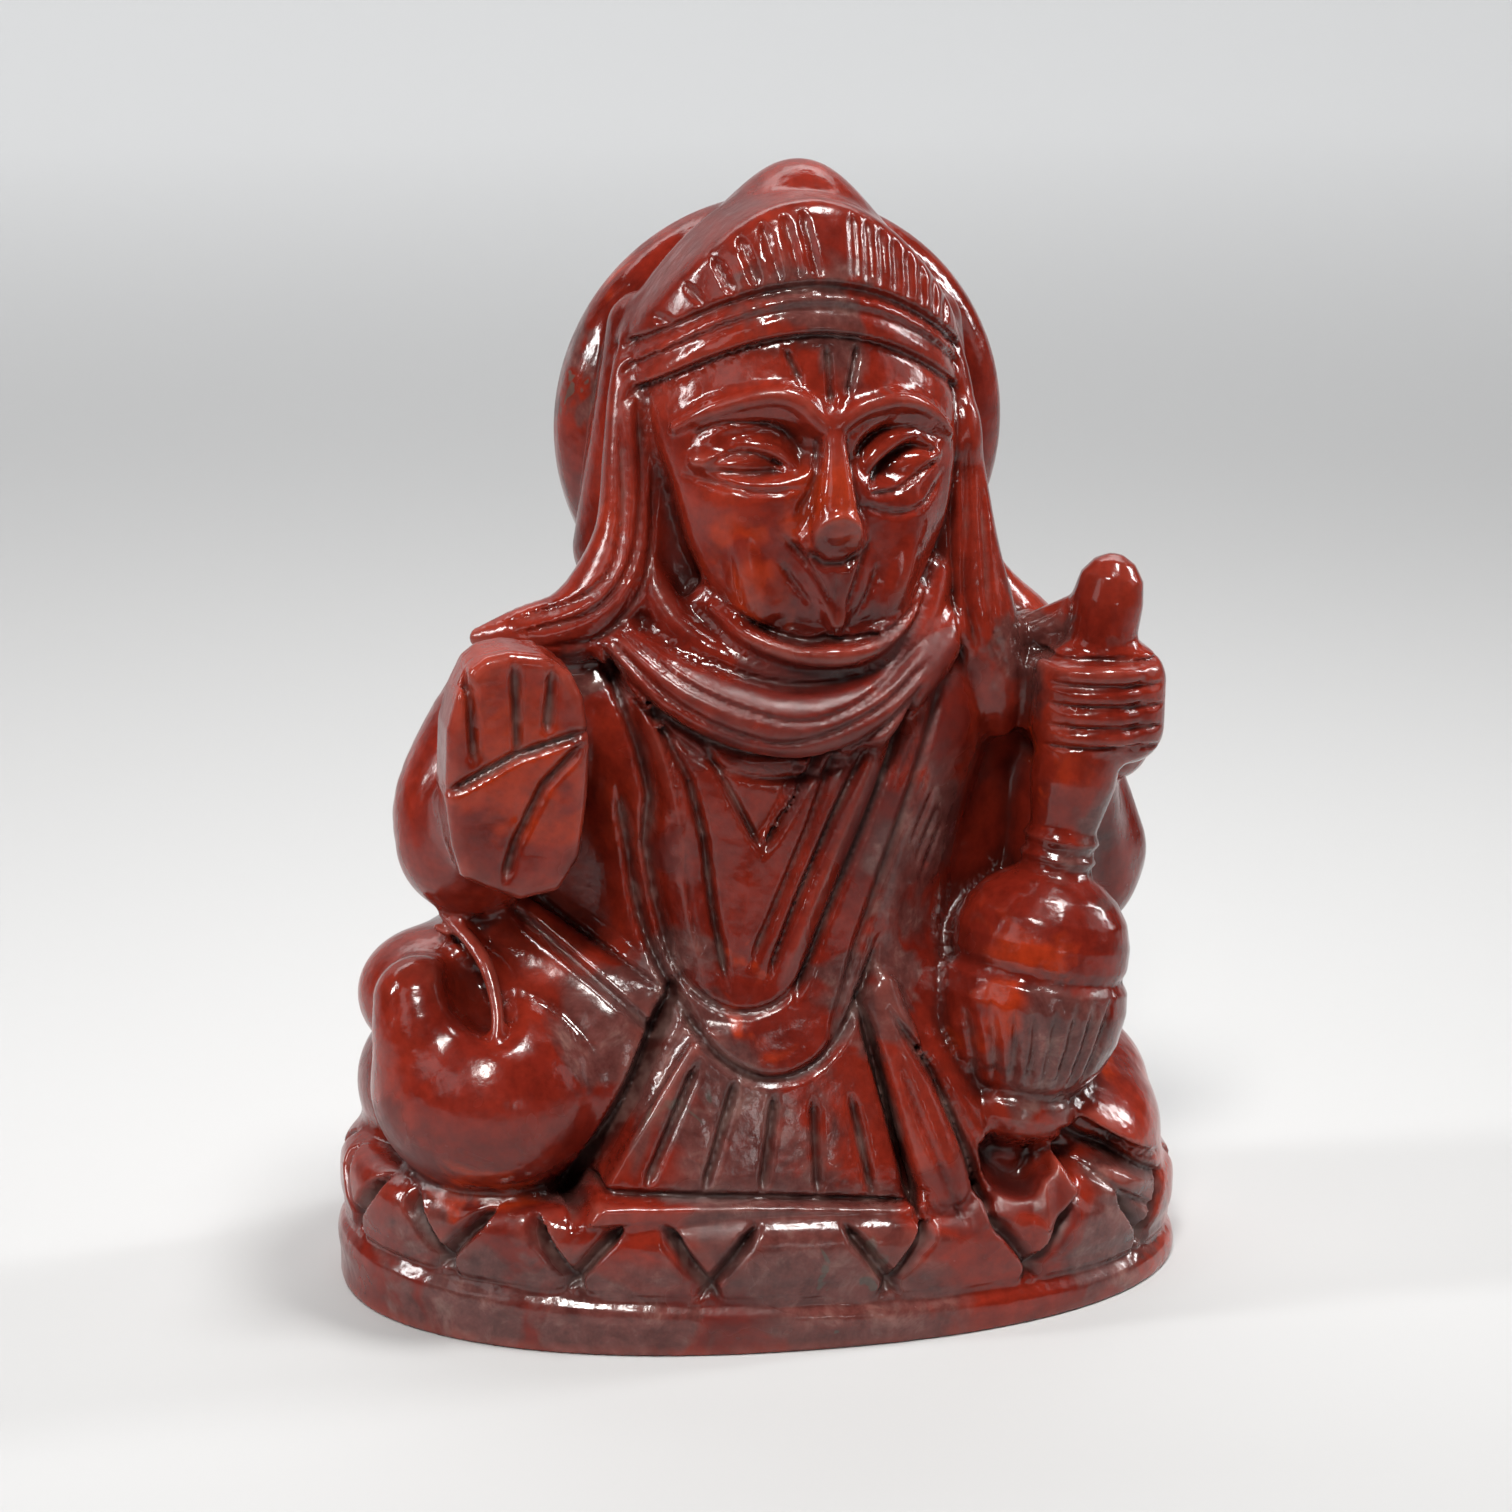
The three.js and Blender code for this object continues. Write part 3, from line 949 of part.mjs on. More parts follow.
// The place with the least error for two vertices joined, or the middle of them.
function bestPlace(q, a, b) {
  const middle = a.clone().lerp(b, 0.5);
  const rows = new THREE.Matrix3().set(q[0], q[1], q[2], q[1], q[4], q[5], q[2], q[5], q[7]);
  const size = q[0] + q[4] + q[7];
  if (Math.abs(rows.determinant()) < 1e-4 * size ** 3) return middle;
  const place = new THREE.Vector3(-q[3], -q[6], -q[8]).applyMatrix3(rows.invert());
  return place.distanceTo(middle) < a.distanceTo(b) * 1.5 ? place : middle;
}

// A heap of folds, least error on top.
class Heap {
  constructor() {
    this.items = [];
  }

  push(item) {
    const items = this.items;
    let at = items.push(item) - 1;
    while (at > 0 && items[(at - 1) >> 1].error > item.error) {
      items[at] = items[(at - 1) >> 1];
      at = (at - 1) >> 1;
    }
    items[at] = item;
  }

  pop() {
    const items = this.items;
    const top = items[0];
    const item = items.pop();
    if (items.length === 0) return top;
    let at = 0;
    for (let child = 1; child < items.length; child = 2 * at + 1) {
      if (child + 1 < items.length && items[child + 1].error < items[child].error) child++;
      if (items[child].error >= item.error) break;
      items[at] = items[child];
      at = child;
    }
    items[at] = item;
    return top;
  }
}

function thin({ places, faces }, wanted) {
  const spots = [];
  for (let i = 0; i < places.length; i += 3) spots.push(new THREE.Vector3(...places.slice(i, i + 3)));
  const terms = spots.map(() => new Float64Array(10));
  const around = spots.map(() => new Set());
  const version = new Uint32Array(spots.length);
  const triangles = [];
  for (let i = 0; i < faces.length; i += 3) {
    const corners = faces.slice(i, i + 3);
    const plane = planeTerms(...corners.map((v) => spots[v]));
    for (const v of corners) {
      around[v].add(triangles.length);
      plane.forEach((value, k) => { terms[v][k] += value; });
    }
    triangles.push(corners);
  }
  const heap = new Heap();
  const offer = (a, b) => {
    const joined = terms[a].map((value, k) => value + terms[b][k]);
    const place = bestPlace(joined, spots[a], spots[b]);
    const error = planeError(joined, place) + 1e-5 * spots[a].distanceToSquared(spots[b]);
    heap.push({ a, b, place, error, age: version[a] + version[b] });
  };
  const neighbours = (v) => {
    const found = new Set();
    for (const t of around[v]) for (const w of triangles[t]) if (w !== v) found.add(w);
    return found;
  };
  const facing = (corners, v, place) => {
    const [p, q, r] = corners.map((w) => (w === v ? place : spots[w]));
    return q.clone().sub(p).cross(r.clone().sub(p));
  };
  // A fold is safe where it turns no triangle over and pinches nothing.
  const safe = (a, b, place) => {
    const ring = neighbours(b);
    let shared = 0;
    for (const w of neighbours(a)) if (ring.has(w)) shared++;
    if (shared !== 2) return false;
    for (const [v, other] of [[a, b], [b, a]]) {
      for (const t of around[v]) {
        if (triangles[t].includes(other)) continue;
        const before = facing(triangles[t], v, spots[v]);
        const after = facing(triangles[t], v, place);
        if (before.dot(after) < 0.3 * before.length() * after.length()) return false;
      }
    }
    return true;
  };
  spots.forEach((spot, a) => neighbours(a).forEach((b) => { if (a < b) offer(a, b); }));
  let left = triangles.length;
  while (left > wanted && heap.items.length > 0) {
    const { a, b, place, age } = heap.pop();
    if (around[a] === null || around[b] === null || age !== version[a] + version[b]) continue;
    if (!safe(a, b, place)) continue;
    for (const t of around[b]) {
      if (triangles[t].includes(a)) {
        for (const w of triangles[t]) if (w !== b) around[w].delete(t);
        triangles[t] = null;
        left--;
      } else {
        triangles[t][triangles[t].indexOf(b)] = a;
        around[a].add(t);
      }
    }
    around[b] = null;
    spots[a] = place;
    terms[b].forEach((value, k) => { terms[a][k] += value; });
    version[a]++;
    neighbours(a).forEach((w) => offer(Math.min(a, w), Math.max(a, w)));
  }
  const number = new Map();
  const kept = [];
  const index = [];
  for (const corners of triangles) {
    if (corners === null) continue;
    for (const v of corners) {
      if (!number.has(v)) {
        number.set(v, kept.length / 3);
        kept.push(spots[v].x, spots[v].y, spots[v].z);
      }
      index.push(number.get(v));
    }
  }
  return { places: kept, faces: index };
}

// THE CARVING, STANDING ON ITS FLAT UNDERSIDE

const SHAPES = [shapePlinth, shapeBody, shapeRoundKnee, shapeLowKnee, shapeSkirt, shapeFoot, shapeArms,
                shapeHead, shapeHair, shapeScarf, shapeTiara, shapeFace, shapeMace, shapeFist, shapePalm];
const SCORES = [scorePetals, scoreRobe, scoreScarf, scoreKnee, scoreLowKnee, scoreSkirt, scoreFist,
                scoreMace, scorePalm, scoreTiara, scoreFace, scoreHair];
const ROOM = 3;

function carve() {
  const tape = new Tape();
  for (const shape of SHAPES) shape(tape);
  const clay = new Clay(tape.low.map((v) => v - ROOM), tape.high.map((v) => v + ROOM), GRAIN);
  for (const shape of SHAPES) shape(clay);
  clay.close(WHEEL);
  for (const score of SCORES) score(clay);
  return clay;
}

const wasm = await Module();
wasm.setup();

function solid(places, faces) {
  const mesh = new wasm.Mesh({
    numProp: 3,
    vertProperties: new Float32Array(places),
    triVerts: new Uint32Array(faces),
  });
  return new wasm.Manifold(mesh);
}

// Cuts off whatever hangs below the floor.
function cutFlat(body) {
  const size = 4 * Math.max(PLINTH_WIDTH, PLINTH_DEPTH);
  const box = new THREE.BoxGeometry(size, size, size).translate(0, 0, -size / 2);
  box.deleteAttribute("normal");
  box.deleteAttribute("uv");
  const merged = mergeVertices(box);
  return body.subtract(solid(merged.attributes.position.array, merged.index.array));
}

function carving() {
  const clay = carve();
  fillHollows(clay);
  mend(clay);
  const { places, faces } = thin(skin(clay), TRIANGLES);
  const sized = places.map((value, i) => (i % 3 === 2 ? (value - UNDERSIDE) * PART : value * PART));
  const body = cutFlat(solid(sized, faces)).getMesh();
  const geometry = new THREE.BufferGeometry();
  geometry.setAttribute("position", new THREE.BufferAttribute(body.vertProperties, 3));
  geometry.setIndex(new THREE.BufferAttribute(body.triVerts, 1));
  geometry.computeVertexNormals();
  const stone = new THREE.MeshStandardMaterial({ color: STONE_COLOUR, roughness: STONE_ROUGHNESS,
      metalness: 0 });
  const mesh = new THREE.Mesh(geometry, stone);
  mesh.name = "hanuman_carving";
  return mesh;
}

const group = new THREE.Group();
group.add(carving());
export default group;
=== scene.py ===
# A seated hanuman figure and its petal plinth, carved from one piece of red stone.
# The stone is shaped as a field of distances on a grid, as its maker would cut it: forms are added
# and cut away, strokes are scored into them, and the surface where the distance is nought is meshed.
import math
import bpy
import numpy as np
from mathutils import Matrix, Vector


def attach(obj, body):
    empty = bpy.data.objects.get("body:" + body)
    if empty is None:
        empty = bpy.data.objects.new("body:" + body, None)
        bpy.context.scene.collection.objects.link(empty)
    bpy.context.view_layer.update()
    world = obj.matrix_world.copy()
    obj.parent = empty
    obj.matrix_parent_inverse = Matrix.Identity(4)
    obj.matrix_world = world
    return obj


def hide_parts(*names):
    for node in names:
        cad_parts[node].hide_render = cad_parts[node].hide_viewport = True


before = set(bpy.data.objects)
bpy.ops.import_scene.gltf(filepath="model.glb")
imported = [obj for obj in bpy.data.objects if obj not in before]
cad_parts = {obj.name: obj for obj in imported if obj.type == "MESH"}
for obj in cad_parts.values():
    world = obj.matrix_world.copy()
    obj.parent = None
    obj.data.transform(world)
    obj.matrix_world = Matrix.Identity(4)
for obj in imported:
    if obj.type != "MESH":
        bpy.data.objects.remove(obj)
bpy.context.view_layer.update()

# Camera

MM = 0.001
IMAGE = 1512
CAMERA_TURN = -13
CAMERA_RISE = 16
CAMERA_ROLL = 1
CAMERA_AWAY = 400
CAMERA_AIM = (0, 0, 50)
PIXELS_PER_MM = 10.8
AIM_PIXEL = (769, 747.4)
SENSOR = 36


def make_camera():
    turn, rise, roll = (math.radians(a) for a in (CAMERA_TURN, CAMERA_RISE, CAMERA_ROLL))
    back = Vector((math.sin(turn) * math.cos(rise), -math.cos(turn) * math.cos(rise), math.sin(rise)))
    level = Vector((math.cos(turn), math.sin(turn), 0))
    high = back.cross(level)
    right = level * math.cos(roll) + high * math.sin(roll)
    up = high * math.cos(roll) - level * math.sin(roll)
    aim = Vector(CAMERA_AIM)
    aim -= right * (AIM_PIXEL[0] - IMAGE / 2) / PIXELS_PER_MM
    aim -= up * (IMAGE / 2 - AIM_PIXEL[1]) / PIXELS_PER_MM
    camera = bpy.data.cameras.new("camera")
    camera.sensor_width = SENSOR
    camera.lens = PIXELS_PER_MM * CAMERA_AWAY / IMAGE * SENSOR
    camera.clip_start = 0.01
    camera.clip_end = 20
    holder = bpy.data.objects.new("camera", camera)
    holder.matrix_world = Matrix.Translation((aim + back * CAMERA_AWAY) * MM) @ Matrix(
        (right, up, back)).transposed().to_4x4()
    bpy.context.scene.collection.objects.link(holder)
    bpy.context.scene.camera = holder


make_camera()

# Smooth joins

F = np.float32
# TINY keeps a divisor from nought, SLACK lets in what lies on an edge, and anything is nearer
# than FAR_OFF.
TINY = 1e-6
SLACK = 0.01
FAR_OFF = 1e9


def soft_min(a, b, blend):
    if blend <= 0:
        return np.minimum(a, b)
    near = np.maximum(blend - np.abs(a - b), 0)
    return np.minimum(a, b) - near * near / (4 * blend)


def soft_max(a, b, blend):
    return -soft_min(-a, -b, blend)


def smooth(points, steps):
    """A smooth run through a few points, whatever numbers each point holds."""
    p = np.array(points, float)
    p = np.concatenate([[2 * p[0] - p[1]], p, [2 * p[-1] - p[-2]]])
    out = []
    for a, b, c, d in zip(p, p[1:], p[2:], p[3:]):
        for t in np.arange(steps) / steps:
            out.append(0.5 * (2 * b + (c - a) * t + (2 * a - 5 * b + 4 * c - d) * t * t
                              + (3 * b - a - 3 * c + d) * t ** 3))
    out.append(p[-2])
    return out


def between(table, value):
    """Straight-line reading of a table of pairs."""
    return np.interp(value, [row[0] for row in table], [row[1] for row in table]).astype(F)


# Forms: each is a distance function with its lowest and highest corner

def oval_far(offsets, radii):
    """Distance to an ellipse or ellipsoid, true enough near its surface."""
    shares = [offset / radius for offset, radius in zip(offsets, radii)]
    reach = np.sqrt(sum(share * share for share in shares)) + TINY
    slope = np.sqrt(sum((share / radius) ** 2 for share, radius in zip(shares, radii))) + TINY
    return reach * (reach - 1) / slope


def ball(centre, radii):
    def far(x, y, z):
        return oval_far((x - middle[0], y - middle[1], z - middle[2]), radii)
    middle, half = np.array(centre, float), np.array(radii, float)
    return far, middle - half, middle + half


def limb(start, end):
    """A cone with round ends; each end is x, y, z and radius."""
    a, b = np.array(start, float), np.array(end, float)
    d = b - a
    long = d[:3] @ d[:3]

    def far(x, y, z):
        u, v, w = x - a[0], y - a[1], z - a[2]
        t = np.clip((u * d[0] + v * d[1] + w * d[2]) / long, 0, 1)
        off = np.sqrt((u - t * d[0]) ** 2 + (v - t * d[1]) ** 2 + (w - t * d[2]) ** 2)
        return off - (a[3] + t * d[3])
    thick = max(a[3], b[3])
    return far, np.minimum(a, b)[:3] - thick, np.maximum(a, b)[:3] + thick


def rope(points, steps=4):
    """A run of limbs through smoothed points; each point is x, y, z and radius."""
    p = smooth(points, steps)
    legs = [limb(a, b) for a, b in zip(p, p[1:])]

    def far(x, y, z):
        out = legs[0][0](x, y, z)
        for leg in legs[1:]:
            out = np.minimum(out, leg[0](x, y, z))
        return out
    return far, np.min([leg[1] for leg in legs], 0), np.max([leg[2] for leg in legs], 0)


def rounded_edge(a, b, radius):
    out = np.sqrt(np.maximum(a, 0) ** 2 + np.maximum(b, 0) ** 2)
    return out + np.minimum(np.maximum(a, b), 0) - radius


def block(centre, half, radius):
    centre, half = np.array(centre, float), np.array(half, float)

    def far(x, y, z):
        u, v, w = (np.abs(p - centre[i]) - (half[i] - radius) for i, p in enumerate((x, y, z)))
        out = np.sqrt(np.maximum(u, 0) ** 2 + np.maximum(v, 0) ** 2 + np.maximum(w, 0) ** 2)
        return out + np.minimum(np.maximum(np.maximum(u, v), w), 0) - radius
    return far, centre - half, centre + half


def outline_far(outline, u, v):
    """Distance to a closed outline, below nought inside."""
    best = np.full(np.broadcast(u, v).shape, FAR_OFF, F)
    inside = np.zeros(best.shape, bool)
    for a, b in zip(outline, outline[1:] + outline[:1]):
        ex, ey = b[0] - a[0], b[1] - a[1]
        wx, wy = u - a[0], v - a[1]
        t = np.clip((wx * ex + wy * ey) / (ex * ex + ey * ey + 1e-12), 0, 1)
        best = np.minimum(best, (wx - ex * t) ** 2 + (wy - ey * t) ** 2)
        rising = (a[1] <= v) & (b[1] > v) & (ex * wy > ey * wx)
        falling = (a[1] > v) & (b[1] <= v) & (ex * wy < ey * wx)
        inside ^= rising | falling
    return np.where(inside, -1, 1).astype(F) * np.sqrt(best)


def plate(outline, front, back, radius):
    """An outline in x and z, run from front to back, with rounded edges."""
    low, high = np.min(outline, 0), np.max(outline, 0)

    def far(x, y, z):
        around = outline_far(outline, x, z) + radius
        along = np.abs(y - (front + back) / 2) - ((back - front) / 2 - radius)
        return rounded_edge(around, along, radius)
    return far, np.array([low[0], front, low[1]]), np.array([high[0], back, high[1]])


def disc(centre, wide, high, half, radius):
    """An upright oval disc, facing the front, with half its thickness and its edge's radius."""
    def far(x, y, z):
        rim = oval_far((x - centre[0], z - centre[2]), (wide, high)) + radius
        return rounded_edge(rim, np.abs(y - centre[1]) - (half - radius), radius)
    box = np.array([wide, half, high], float)
    return far, np.array(centre, float) - box, np.array(centre, float) + box


def turned(foot, head, profile):
    """A turned form on the line from foot to head; profile rows are distance along and radius."""
    a, b = np.array(foot, float), np.array(head, float)
    n = (b - a) / np.linalg.norm(b - a)
    outline = profile + [[p[0], -p[1]] for p in profile[::-1]]
    thick = max(p[1] for p in profile)

    def far(x, y, z):
        u, v, w = x - a[0], y - a[1], z - a[2]
        t = u * n[0] + v * n[1] + w * n[2]
        return outline_far(outline, t, np.sqrt(np.maximum(u * u + v * v + w * w - t * t, 0)))
    low, high = a + n * profile[0][0], a + n * profile[-1][0]
    return far, np.minimum(low, high) - thick, np.maximum(low, high) + thick


def stack(rows, blend):
    """Sections one above another: z, centre x, centre y, half width, half depth."""
    p = np.array(smooth(rows, 4))
    top, foot = rows[-1][0], rows[0][0]

    def far(x, y, z):
        cx, cy, rx, ry = (np.interp(z, p[:, 0], p[:, k]).astype(F) for k in (1, 2, 3, 4))
        side = oval_far((x - cx, y - cy), (rx, ry))
        return soft_max(side, np.maximum(z - top, foot - z), blend)
    low = np.array([(p[:, 1] - p[:, 3]).min(), (p[:, 2] - p[:, 4]).min(), foot])
    high = np.array([(p[:, 1] + p[:, 3]).max(), (p[:, 2] + p[:, 4]).max(), top])
    return far, low, high


def lean(form, pivot, degrees):
    """A form turned about the front-to-back axis through a point."""
    far, low, high = form
    c, s = math.cos(math.radians(degrees)), math.sin(math.radians(degrees))

    def turned_far(x, y, z):
        u, w = z - pivot[2], x - pivot[0]
        return far(pivot[0] - s * u + c * w, y, pivot[2] + c * u + s * w)
    corners = []
    for k in range(8):
        x, y, z = ((low, high)[(k >> m) & 1][m] for m in range(3))
        u, w = z - pivot[2], x - pivot[0]
        corners.append((pivot[0] + s * u + c * w, y, pivot[2] + c * u - s * w))
    return turned_far, np.min(corners, 0), np.max(corners, 0)


def only(form, test, blend):
    """A form kept where the test is below nought."""
    return (lambda x, y, z: soft_max(form[0](x, y, z), test(x, y, z), blend)), form[1], form[2]


def near_line(points, u, v):
    """Distance to a run of points, distance along it, and its length."""
    best = np.full(u.shape, FAR_OFF, F)
    along = np.zeros(u.shape, F)
    run = 0.0
    for a, b in zip(points, points[1:]):
        dx, dy = b[0] - a[0], b[1] - a[1]
        long = math.hypot(dx, dy)
        t = np.clip(((u - a[0]) * dx + (v - a[1]) * dy) / (long * long), 0, 1)
        gap = np.hypot(u - a[0] - t * dx, v - a[1] - t * dy)
        along = np.where(gap < best, run + t * long, along)
        best = np.minimum(best, gap)
        run += long
    return best, along, run


def front_plane(x, y, z):
    return x, z


# A stroke's share of its depth at its tips, and its share of its width there
TIP_DEPTH = 0.12
TIP_WIDTH = 0.45


class Clay:
    """A grid of distances that forms are added to, cut from and scored into."""

    def __init__(self, low, high, step, reach):
        self.step, self.reach = step, reach
        self.low = np.array(low, float)
        counts = [round((high[k] - low[k]) / step) + 1 for k in range(3)]
        self.axes = [(low[k] + step * np.arange(counts[k])).astype(F) for k in range(3)]
        self.grid = np.full(counts, reach, F)
        self.scored = np.zeros(counts, F)

    def within(self, low, high, pad):
        cells = []
        for k in range(3):
            a = max(0, math.floor((low[k] - pad - self.low[k]) / self.step))
            b = min(len(self.axes[k]), math.ceil((high[k] + pad - self.low[k]) / self.step) + 1)
            cells.append(slice(a, max(a, b)))
        x, y, z = (self.axes[k][cells[k]] for k in range(3))
        return tuple(cells), x[:, None, None], y[None, :, None], z[None, None, :]

    def add(self, form, blend):
        cells, x, y, z = self.within(form[1], form[2], self.reach + blend)
        self.grid[cells] = soft_min(self.grid[cells], form[0](x, y, z).astype(F), blend)

    def cut(self, form, blend):
        cells, x, y, z = self.within(form[1], form[2], blend + 0.5)
        self.grid[cells] = soft_max(self.grid[cells], -form[0](x, y, z).astype(F), blend)

    def score(self, strokes, low, high, plane=front_plane):
        """Strokes are points, half width, depth and taper; they cut only what lies in the box."""
        cells, x, y, z = self.within(low, high, 0)
        u, v = np.broadcast_arrays(*plane(x, y, z))
        if plane is front_plane:
            u, v = u.squeeze(1), v.squeeze(1)
        deepest = np.zeros(u.shape, F)
        for points, half, depth, taper in strokes:
            wide = half + SLACK
            least, most = np.min(points, 0) - wide, np.max(points, 0) + wide
            near = (u > least[0]) & (u < most[0]) & (v > least[1]) & (v < most[1])
            gap, along, run = near_line(points, u[near], v[near])
            share = np.minimum(1, np.minimum(along, run - along) / taper + TIP_DEPTH)
            reach = half * (TIP_WIDTH + (1 - TIP_WIDTH) * share)
            amount = depth * np.maximum(0, 1 - gap / reach) * share
            deepest[near] = np.where(np.abs(amount) > np.abs(deepest[near]), amount, deepest[near])
        if plane is front_plane:
            deepest = deepest[:, None, :]
        self.grid[cells] += deepest
        self.scored[cells] = np.maximum(self.scored[cells], deepest)

    def close(self, radius):
        """Fills crevices too narrow for a wheel of this radius."""
        n = max(1, round(radius / self.step))
        spread = range(-n, n + 1)
        shifts = [(i, j, k) for i in spread for j in spread for k in spread
                  if i * i + j * j + k * k <= (radius / self.step) ** 2 + SLACK]
        for pick in (np.minimum, np.maximum):
            source = np.pad(self.grid, n, mode="edge")
            shape = self.grid.shape
            for i, j, k in shifts:
                moved = source[n + i:n + i + shape[0], n + j:n + j + shape[1], n + k:n + k + shape[2]]
                pick(self.grid, moved, out=self.grid)


# Rim of the plinth

# Every form is in millimetres, with height nought at the top of the plinth.
PLINTH_HIGH = 12.0
RIM_X = 39.9
RIM_Y = 24.0
RIM_POWER = 2.2


def rim_far(x, y):
    u, v = np.abs(x / RIM_X) + 1e-9, np.abs(y / RIM_Y) + 1e-9
    reach = (u ** RIM_POWER + v ** RIM_POWER) ** (1 / RIM_POWER)
    slope = np.hypot(u ** (RIM_POWER - 1) / RIM_X, v ** (RIM_POWER - 1) / RIM_Y)
    return (reach - 1) / (slope * reach ** (1 - RIM_POWER) + 1e-9)


def rim_table():
    """Distance along half the rim at each angle from the middle of the front."""
    angle = np.linspace(0, math.pi, 361)
    share = 2 / RIM_POWER
    x = RIM_X * np.sin(angle) ** share
    y = RIM_Y * np.abs(np.cos(angle)) ** share * np.sign(np.cos(angle))
    run = np.concatenate([[0], np.cumsum(np.hypot(np.diff(x), np.diff(y)))])
    return angle, run


RIM_ANGLE, RIM_RUN = rim_table()


def round_plane(x, y, z):
    """Drawing round the rim: along it from the middle of the front, and up."""
    across = np.abs(x / RIM_X) ** (RIM_POWER / 2)
    deep = np.sign(-y) * np.abs(y / RIM_Y) ** (RIM_POWER / 2)
    return np.sign(x) * np.interp(np.arctan2(across, deep), RIM_ANGLE, RIM_RUN).astype(F), z


def bump(z, middle, wide):
    return np.exp(-((z - middle) / wide) ** 2)


# The block of clay: the grid's step, how far out distances are kept, and the wheel's radius

GRAIN = 0.33
REACH = 2.2
WHEEL = 0.75
clay = Clay([-RIM_X - 4, -RIM_Y - 4.5, -PLINTH_HIGH - 2], [RIM_X + 4, RIM_Y + 3.5, 95.5], GRAIN, REACH)
add, cut, score = clay.add, clay.cut, clay.score

# Plinth

PETAL_FALL = 0.043
GROOVE = -7.5
MOULDING = -9.6
# The first petal's middle, the step to the next one and their number, to the left and to the right
PETALS = [(-10.2, -12.4, 8), (6.9, 14.6, 7)]
PETAL_TOP = (4.4, -0.4)
PETAL_FOOT = (1.2, -7.2)


def plinth_far(x, y, z):
    level = z + PETAL_FALL * x
    swell = 0.15 - 0.8 * bump(level, GROOVE, 0.6) - 0.35 * bump(level, GROOVE + 1.4, 0.9)
    swell = swell + 0.25 * bump(level, MOULDING, 1.2)
    side = soft_max(rim_far(x, y) - swell, level - 0.2, 3.4)
    return np.maximum(side, -PLINTH_HIGH - z)


add((plinth_far, [-RIM_X - 0.5, -RIM_Y - 0.5, -PLINTH_HIGH], [RIM_X + 0.5, RIM_Y + 0.5, 2.2]), 0)

# Body
add(stack([[-1.5, 0, 1.5, 33, 17], [4, 0, 1.5, 34, 18], [9, 0, 1, 31, 17.4], [15, 0, 0, 25, 16.5],
           [21, 0, 0, 19, 15]], 3), 1)
add(stack([[4, -1.5, 0, 20, 17], [14, -1, -0.6, 18, 16.4], [22, -0.5, -0.6, 17.2, 15.6],
           [30, 0, -0.5, 17.5, 15.2], [38, 0.4, -0.3, 19.5, 15], [44, 0.5, 0, 21, 14],
           [49, 0.8, 0.3, 19, 12.5], [54, 1, 0.5, 13, 11]], 3), 3)
add(stack([[6, 0, 3, 29, 12], [18, 0.5, 3, 28, 11.5], [28, 0.5, 3, 27.5, 10.5], [38, 0.5, 3, 24, 10.5],
           [47, 1, 2.5, 19, 10]], 3), 2)
cut(plate([[-9.1, 43.6], [-3.9, 33], [1.4, 43.6]], -22, -14, 0.2), 0.3)

# Round knee
add(ball([-25, 0.5, 12.6], [11.3, 12, 11.4]), 1.6)
add(ball([-28.8, 5, 5.4], [9, 10, 8.4]), 1.6)
add(ball([-31, -1.6, 16.5], [7.6, 7.6, 6.2]), 1.2)
add(limb([-25.5, -3.5, 20.5, 5.6], [-16, -9, 15.5, 5.2]), 2.2)
add(ball([-27.4, -8.4, 9.6], [10.9, 11.4, 9.6]), 0.6)
add(rope([[-32.6, -10, 11, 5.6], [-33.4, -9.6, 15, 5], [-34, -8.6, 18.2, 4.2]]), 1.4)
cut(lean(ball([-27.4, -14.2, 20.4], [3.4, 7.4, 4.3]), [-28.4, -14.2, 17], -26), 1.3)
add(rope([[-28.2, -15.6, 15.6, 0.6], [-27.7, -13.6, 18.6, 0.6], [-28.3, -10.8, 22, 0.7],
          [-29.8, -7.6, 23.8, 0.8], [-31.6, -5.8, 24.2, 0.7]], 5), 0.35)
add(ball([-16.6, -6.6, 9], [7.2, 9.6, 11.5]), 2)

# Low knee
add(ball([24.4, 1.5, 3.6], [13.4, 15.5, 8]), 2)
add(ball([26.4, -1.4, -1.6], [11.9, 16.4, 5.4]), 0.6)
wedge = ball([25.2, -1, 0.6], [12.9, 17.9, 10])
add(only(wedge, lambda x, y, z: 22.6 - 0.63 * x - z, 0.5), 0.3)
corner = plate([[17.2, 0.6], [20.4, 3.4], [23.6, 3], [25.6, -0.4], [24.2, -1.4], [21.8, -2.6],
                [19.4, -2.4], [17.4, -1.2]], -24, -10, 0.6)
add(only(corner, lambda x, y, z: -(y + 22.2 - 0.5 * (z + 4) - 0.022 * (x - 20) ** 2), 0.6), 0.9)

# Skirt
panel = plate([[-9.8, 16.6], [4.8, 16.6], [10.6, -0.4], [-21.5, -0.4]], -24, -5, 1)
front = [[-2, 21.6], [4, 20.6], [12, 18.3], [17, 16.9]]
add(only(panel, lambda x, y, z: -(y + between(front, z) - 0.006 * (x + 4) ** 2), 0.8), 1)
add(plate([[-20.4, 2.4], [10.2, 0.7], [10.8, -0.7], [-21, 0.6]], -22.2, -8, 0.5), 0.4)

# Foot
add(rope([[8.5, -13, 17, 2], [12.5, -14.5, 9.5, 3.2], [15.8, -15.8, 3.8, 3.2],
          [17.4, -16.8, 1.2, 2.2]]), 0.8)
add(rope([[7.2, -15, 19, 1.8], [9, -16.8, 12, 2.6], [11.2, -18.8, 5, 3], [12.6, -20, 1.4, 2.3]], 5), 0.4)
for toe in range(6):
    knuckle = [12.2 + 0.7 * toe, -21.4 + 0.1 * toe, -2.4 + 0.45 * toe, 0.9]
    tip = [11.6 + 0.86 * toe, -22.9 + 0.22 * toe, -4.4 + 0.58 * toe, 0.68]
    add(limb(knuckle, tip), 0.2)

